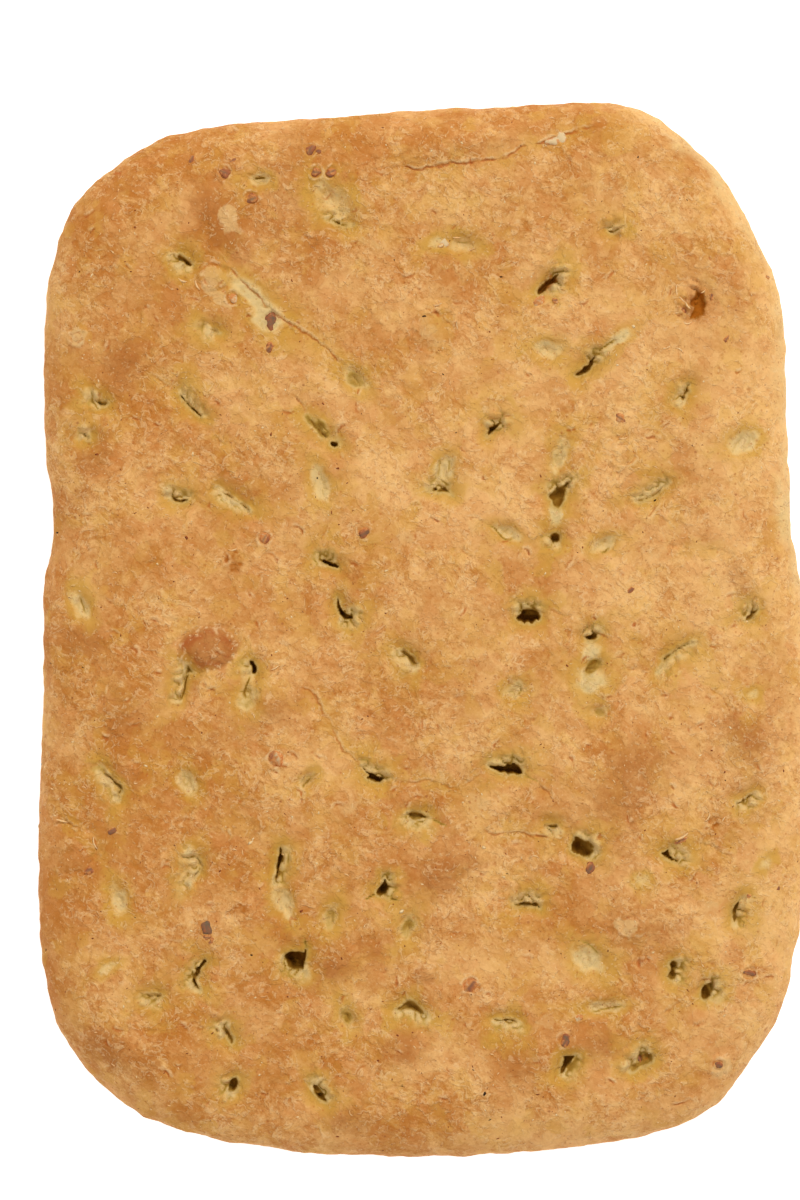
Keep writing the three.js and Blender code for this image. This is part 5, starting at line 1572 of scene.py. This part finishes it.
def frame_on(normal, turn):
    """Axes on a surface: along, across and out of it."""
    aside = np.array([0.0, 1.0, 0.0]) if abs(normal[0]) > 0.9 else np.array([1.0, 0.0, 0.0])
    along = np.cross(np.cross(normal, aside), normal)
    along /= np.linalg.norm(along)
    across = np.cross(normal, along)
    cos, sin = math.cos(turn), math.sin(turn)
    return np.array([cos * along + sin * across, cos * across - sin * along, normal])


def tube_faces(rows, sides):
    """Faces of a tube of rings of points, closed at its ends by the two points after them."""
    faces = []
    first, last = rows * sides, rows * sides + 1
    for k in range(sides):
        following = (k + 1) % sides
        for start in range(0, (rows - 1) * sides, sides):
            faces.append([start + k, start + sides + k, start + sides + following, start + following])
        faces += [[first, k, following], [last, first - sides + following, first - sides + k]]
    return faces


def chip(draw, length, width, thickness, corners=7):
    """A thin uneven chip: a ring of corners between an upper and a lower point."""
    angles = np.linspace(0, 2 * math.pi, corners, endpoint=False) + draw.uniform(-0.25, 0.25, corners)
    reach = draw.uniform(0.7, 1.15, corners)
    edge = np.column_stack([
        length / 2 * reach * np.cos(angles), width / 2 * reach * np.sin(angles),
        draw.uniform(-0.25, 0.25, corners) * thickness,
    ])
    return np.vstack([edge, [0, 0, thickness / 2], [0, 0, -thickness]]), tube_faces(1, corners)


def joined(shapes):
    """The points and faces of many small shapes as those of one."""
    points, faces = [], []
    placed = 0
    for shape, loops in shapes:
        points.append(shape)
        faces += [[placed + corner for corner in loop] for loop in loops]
        placed += len(shape)
    return np.vstack(points), faces


def scatter(name, seats, sizes, material, draw, thickness):
    """Lays one chip on each seat and joins them into one piece."""
    chips = []
    for (place, normal), size in zip(seats, sizes):
        length, width = size * draw.uniform(1, 1.9), size * draw.uniform(0.6, 1)
        shape, loops = chip(draw, length, width, size * thickness)
        axes = frame_on(normal, draw.uniform(0, 2 * math.pi))
        chips.append((place + shape @ axes, loops))
    dress(new_piece(name, *joined(chips), material))


def evenly(x, y):
    return 1


def towards_lower_left(x, y):
    return 0.35 + 0.65 * float(smoothstep((60 - x - 0.5 * y) / 160))


def crust_seats(tree, draw, count, density=evenly):
    """Seats over the crust, kept where a draw falls under the density there."""
    half_width, half_length = HALF_SIZE
    seats = []
    while len(seats) < count:
        x, y = draw.uniform(-half_width, half_width), draw.uniform(-half_length, half_length)
        if draw.uniform() > density(x, y):
            continue
        found = seat_from_above(tree, x, y)
        if found is not None and found[0][2] > LOWEST_CRUST:
            seats.append(found)
    return seats


def side_seats(tree, draw, count):
    seats = []
    while len(seats) < count:
        start = OUTLINE_CURVE[int(draw.uniform() * len(OUTLINE_CURVE))]
        found = seat_from_side(tree, start, draw.uniform(*SIDE_BAND))
        if found is not None:
            seats.append(found)
    return seats


def kernel(draw, length, width, rings=10, sides=16):
    """A split grain: a pointed, wrinkled oval with a seam along its back."""
    turns, angles = np.pi * np.arange(1, rings) / rings, 2 * np.pi * np.arange(sides) / sides
    turn, angle = np.repeat(turns, sides), np.tile(angles, rings - 1)
    seams = bell((angle - np.pi / 2) / 0.35) * np.sin(turn)
    reach = np.sin(turn) ** 0.8 * (1 - 0.28 * seams)
    oval = np.column_stack([
        -length / 2 * np.cos(turn), width / 2 * reach * np.cos(angle), 0.42 * width * reach * np.sin(angle),
    ])
    points = np.vstack([oval, [-length / 2, 0, 0], [length / 2, 0, 0]])
    wrinkles = noise(points + draw.uniform(0, 90), 0.55 * width)
    points += 0.2 * width * wrinkles[:, None] * points / (width / 2)
    return points, tube_faces(rings - 1, sides), [*seams, 0, 0]


def flake(draw, length, width, curl, rows=5):
    """A curled shred of skin: a thin tapering strip bent along an arc."""
    places = np.linspace(-0.4, 0.4, rows)
    points = []
    for share in places:
        heading = curl * share
        middle = np.array([length * math.sin(heading) / curl, length * (1 - math.cos(heading)) / curl, 0])
        across = np.array([-math.sin(heading), math.cos(heading), 0])
        half = width / 2 * (1 - (1.9 * share) ** 2) * draw.uniform(0.75, 1.25)
        points += [middle - half * across, middle + (0, 0, 0.45 * width), middle + half * across]
    ends = [points[1] * (1, 1, 0) + (-0.1 * length, 0, 0), points[-2] * (1, 1, 0) + (0.1 * length, 0, 0)]
    return np.array(points + ends), tube_faces(rows, 3)


def dress(piece):
    """Ties a piece to the loaf's body."""
    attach(piece, BODY)


# Operators


class SCHIACCIATA_OT_loaf(bpy.types.Operator):
    """Builds the loaf with its docked and browned crust"""

    bl_idname = "schiacciata.loaf"
    bl_label = "Loaf"

    def execute(self, context):
        form = sizes_of(context.scene.schiacciata_form)
        material = crust_material(context.scene.schiacciata_colours)
        points, faces = loaf_arrays(form)
        piece = new_piece(LOAF, points, faces, material)
        thin(piece, form.triangle_budget)
        stain_mesh(form, piece.data)
        dress(piece)
        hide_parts(NODE)
        return {"FINISHED"}


class SCHIACCIATA_OT_grains(bpy.types.Operator):
    """Sets the whole and broken grains into the crust"""

    bl_idname = "schiacciata.grains"
    bl_label = "Grains"

    def execute(self, context):
        _, colours, tree, draw = start_laying(context, "grains")
        kernels, tones, seams = [], [], []
        for x, y, length, width, turn, tone in [*GRAINS, *BROKEN_GRAINS]:
            place, normal = seat_under(tree, x, y)
            shape, loops, seam = kernel(draw, length, width)
            tilted = normal + draw.normal(0, GRAIN_TILT, 3)
            axes = frame_on(tilted / np.linalg.norm(tilted), math.radians(turn))
            kernels.append((place - GRAIN_SINK * width * normal + shape @ axes, loops))
            tones += [tone] * len(shape)
            seams += seam
        piece = new_piece("whole_grains", *joined(kernels), grain_material(colours))
        store_fields(piece.data, {"tone": tones, "seam": seams})
        dress(piece)
        return {"FINISHED"}


class SCHIACCIATA_OT_bran(bpy.types.Operator):
    """Scatters red brown bran flecks over the crust and the side"""

    bl_idname = "schiacciata.bran"
    bl_label = "Bran"

    def execute(self, context):
        form, colours, tree, draw = start_laying(context, "bran")
        seats = crust_seats(tree, draw, form.bran_count, towards_lower_left)
        seats += side_seats(tree, draw, form.side_bran_count)
        sizes = form.bran_size * np.exp(draw.normal(-0.1, 0.35, len(seats)))
        material = speck_material("bran", colours.bran, colours.dark_bran)
        scatter("bran_flecks", seats, sizes, material, draw, BRAN_THICKNESS)
        return {"FINISHED"}


class SCHIACCIATA_OT_flour(bpy.types.Operator):
    """Scatters flour and pale scraps of skin"""

    bl_idname = "schiacciata.flour"
    bl_label = "Flour"

    def execute(self, context):
        form, colours, tree, draw = start_laying(context, "flour")
        seats = crust_seats(tree, draw, form.flour_count) + side_seats(tree, draw, form.side_flour_count)
        sizes = list(form.flour_size * np.exp(draw.normal(0, 0.35, len(seats))))
        for x, y, size in SIDE_CRUMBS:
            seats.append(seat_from_side(tree, np.array([x, y]), CRUMB_HEIGHT))
            sizes.append(size)
        material = speck_material("flour", colours.flour, colours.dark_flour, 0.8)
        scatter("flour_flecks", seats, sizes, material, draw, FLOUR_THICKNESS)
        return {"FINISHED"}


class SCHIACCIATA_OT_char(bpy.types.Operator):
    """Lays the charred specks where they are seen, and a few more on the side"""

    bl_idname = "schiacciata.char"
    bl_label = "Charred specks"

    def execute(self, context):
        _, colours, tree, draw = start_laying(context, "char")
        seats = [seat_under(tree, x, y) for x, y, _ in CHAR_SPECKS]
        sizes = [CHAR_SHARE * size for _, _, size in CHAR_SPECKS]
        strays = side_seats(tree, draw, SIDE_CHAR_COUNT)
        sizes += [SIDE_CHAR_SIZE] * len(strays)
        material = speck_material("char", colours.char, colours.dark_char)
        scatter("charred_specks", seats + strays, sizes, material, draw, CHAR_THICKNESS)
        return {"FINISHED"}


class SCHIACCIATA_OT_skin(bpy.types.Operator):
    """Lays curled shreds of torn skin over the crust"""

    bl_idname = "schiacciata.skin"
    bl_label = "Torn skin"

    def execute(self, context):
        _, colours, tree, draw = start_laying(context, "skin")
        shreds = []
        for place, normal in crust_seats(tree, draw, SHRED_COUNT):
            turn, length = draw.normal(-0.5, 0.9), 1.1 * math.exp(draw.normal(0, 0.3))
            width, curl = draw.uniform(0.26, 0.42), draw.uniform(0.4, 2) * draw.choice([-1, 1])
            shreds.append((place, normal, turn, length, width, curl))
        for x, y, length, width, turn, curl in TORN_SKIN:
            shreds.append((*seat_under(tree, x, y), math.radians(turn), length, width, curl))
        flakes = []
        for place, normal, turn, length, width, curl in shreds:
            shape, loops = flake(draw, length, width, curl)
            flakes.append((place + LIFT * normal + shape @ frame_on(normal, turn), loops))
        material = speck_material("torn_skin", colours.fold_light, colours.light_crust)
        dress(new_piece("skin_shreds", *joined(flakes), material))
        return {"FINISHED"}


class SCHIACCIATA_OT_stage(bpy.types.Operator):
    """Lays the pale floor and sets the lights and the camera"""

    bl_idname = "schiacciata.stage"
    bl_label = "Stage"

    def execute(self, context):
        settings = context.scene.schiacciata_stage
        material, _, shader, _ = new_material("pale_floor", 0.85, 0.2)
        shader.inputs["Base Color"].default_value = (*settings.floor_colour, 1)
        shader.inputs["Emission Color"].default_value = (1, 1, 1, 1)
        shader.inputs["Emission Strength"].default_value = settings.floor_glow
        signs = ((-1, -1), (1, -1), (1, 1), (-1, 1))
        corners = [[x * FLOOR_REACH, y * FLOOR_REACH, 0] for x, y in signs]
        new_piece("floor", corners, [[0, 1, 2, 3]], material)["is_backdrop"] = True

        world = bpy.data.worlds.new("studio")
        world.use_nodes = True
        background = world.node_tree.nodes["Background"]
        background.inputs["Color"].default_value = (1, 1, 1, 1)
        background.inputs["Strength"].default_value = settings.world_strength
        context.scene.world = world

        self.add_light("key", *KEY_LIGHT, settings.key_power)
        self.add_light("fill", *FILL_LIGHT, settings.fill_power)

        camera_data = bpy.data.cameras.new("camera")
        camera_data.lens = settings.lens
        camera_data.sensor_width = SENSOR_WIDTH
        place = (CAMERA_PLACE[0] * MM, CAMERA_PLACE[1] * MM, settings.camera_height)
        context.scene.camera = add_object("camera", camera_data, place)
        context.scene.view_settings.view_transform = "Standard"
        return {"FINISHED"}

    def add_light(self, name, place, size, power):
        """A square soft light that faces the loaf."""
        lamp = bpy.data.lights.new(name, "AREA")
        lamp.size = size
        lamp.energy = power
        light = add_object(name, lamp, place)
        light.rotation_euler = Vector(place).to_track_quat("Z", "Y").to_euler()


class SCHIACCIATA_PT_panel(bpy.types.Panel):
    """The schiacciata's pieces and settings"""

    bl_idname = "SCHIACCIATA_PT_panel"
    bl_label = "Multigrain Schiacciata"
    bl_space_type = "VIEW_3D"
    bl_region_type = "UI"
    bl_category = "Schiacciata"

    def draw(self, context):
        for operator in OPERATORS:
            self.layout.operator(operator.bl_idname)
        for group in GROUPS:
            settings = getattr(context.scene, group)
            for key in settings.__annotations__:
                self.layout.prop(settings, key)


GROUPS = {
    "schiacciata_form": SchiacciataForm,
    "schiacciata_colours": SchiacciataColours,
    "schiacciata_stage": SchiacciataStage,
}
OPERATORS = (
    SCHIACCIATA_OT_stage, SCHIACCIATA_OT_loaf, SCHIACCIATA_OT_grains, SCHIACCIATA_OT_bran,
    SCHIACCIATA_OT_flour, SCHIACCIATA_OT_char, SCHIACCIATA_OT_skin,
)
CLASSES = (*GROUPS.values(), *OPERATORS, SCHIACCIATA_PT_panel)


def register():
    for group in CLASSES:
        bpy.utils.register_class(group)
    for name, group in GROUPS.items():
        setattr(bpy.types.Scene, name, PointerProperty(type=group))


def unregister():
    for name in GROUPS:
        delattr(bpy.types.Scene, name)
    for group in reversed(CLASSES):
        bpy.utils.unregister_class(group)


def write_sizes():
    """Works out the frame's box and the dressed loaf's box as plain lists."""
    boxes = {"frame": FRAME_BOX, "visual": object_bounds()}
    plain = {name: [list(corner) for corner in box] for name, box in boxes.items()}


def main():
    register()
    bpy.ops.schiacciata.stage()
    bpy.ops.schiacciata.loaf()
    bpy.ops.schiacciata.grains()
    bpy.ops.schiacciata.bran()
    bpy.ops.schiacciata.flour()
    bpy.ops.schiacciata.char()
    bpy.ops.schiacciata.skin()
    write_sizes()


if __name__ == "__main__":
    main()
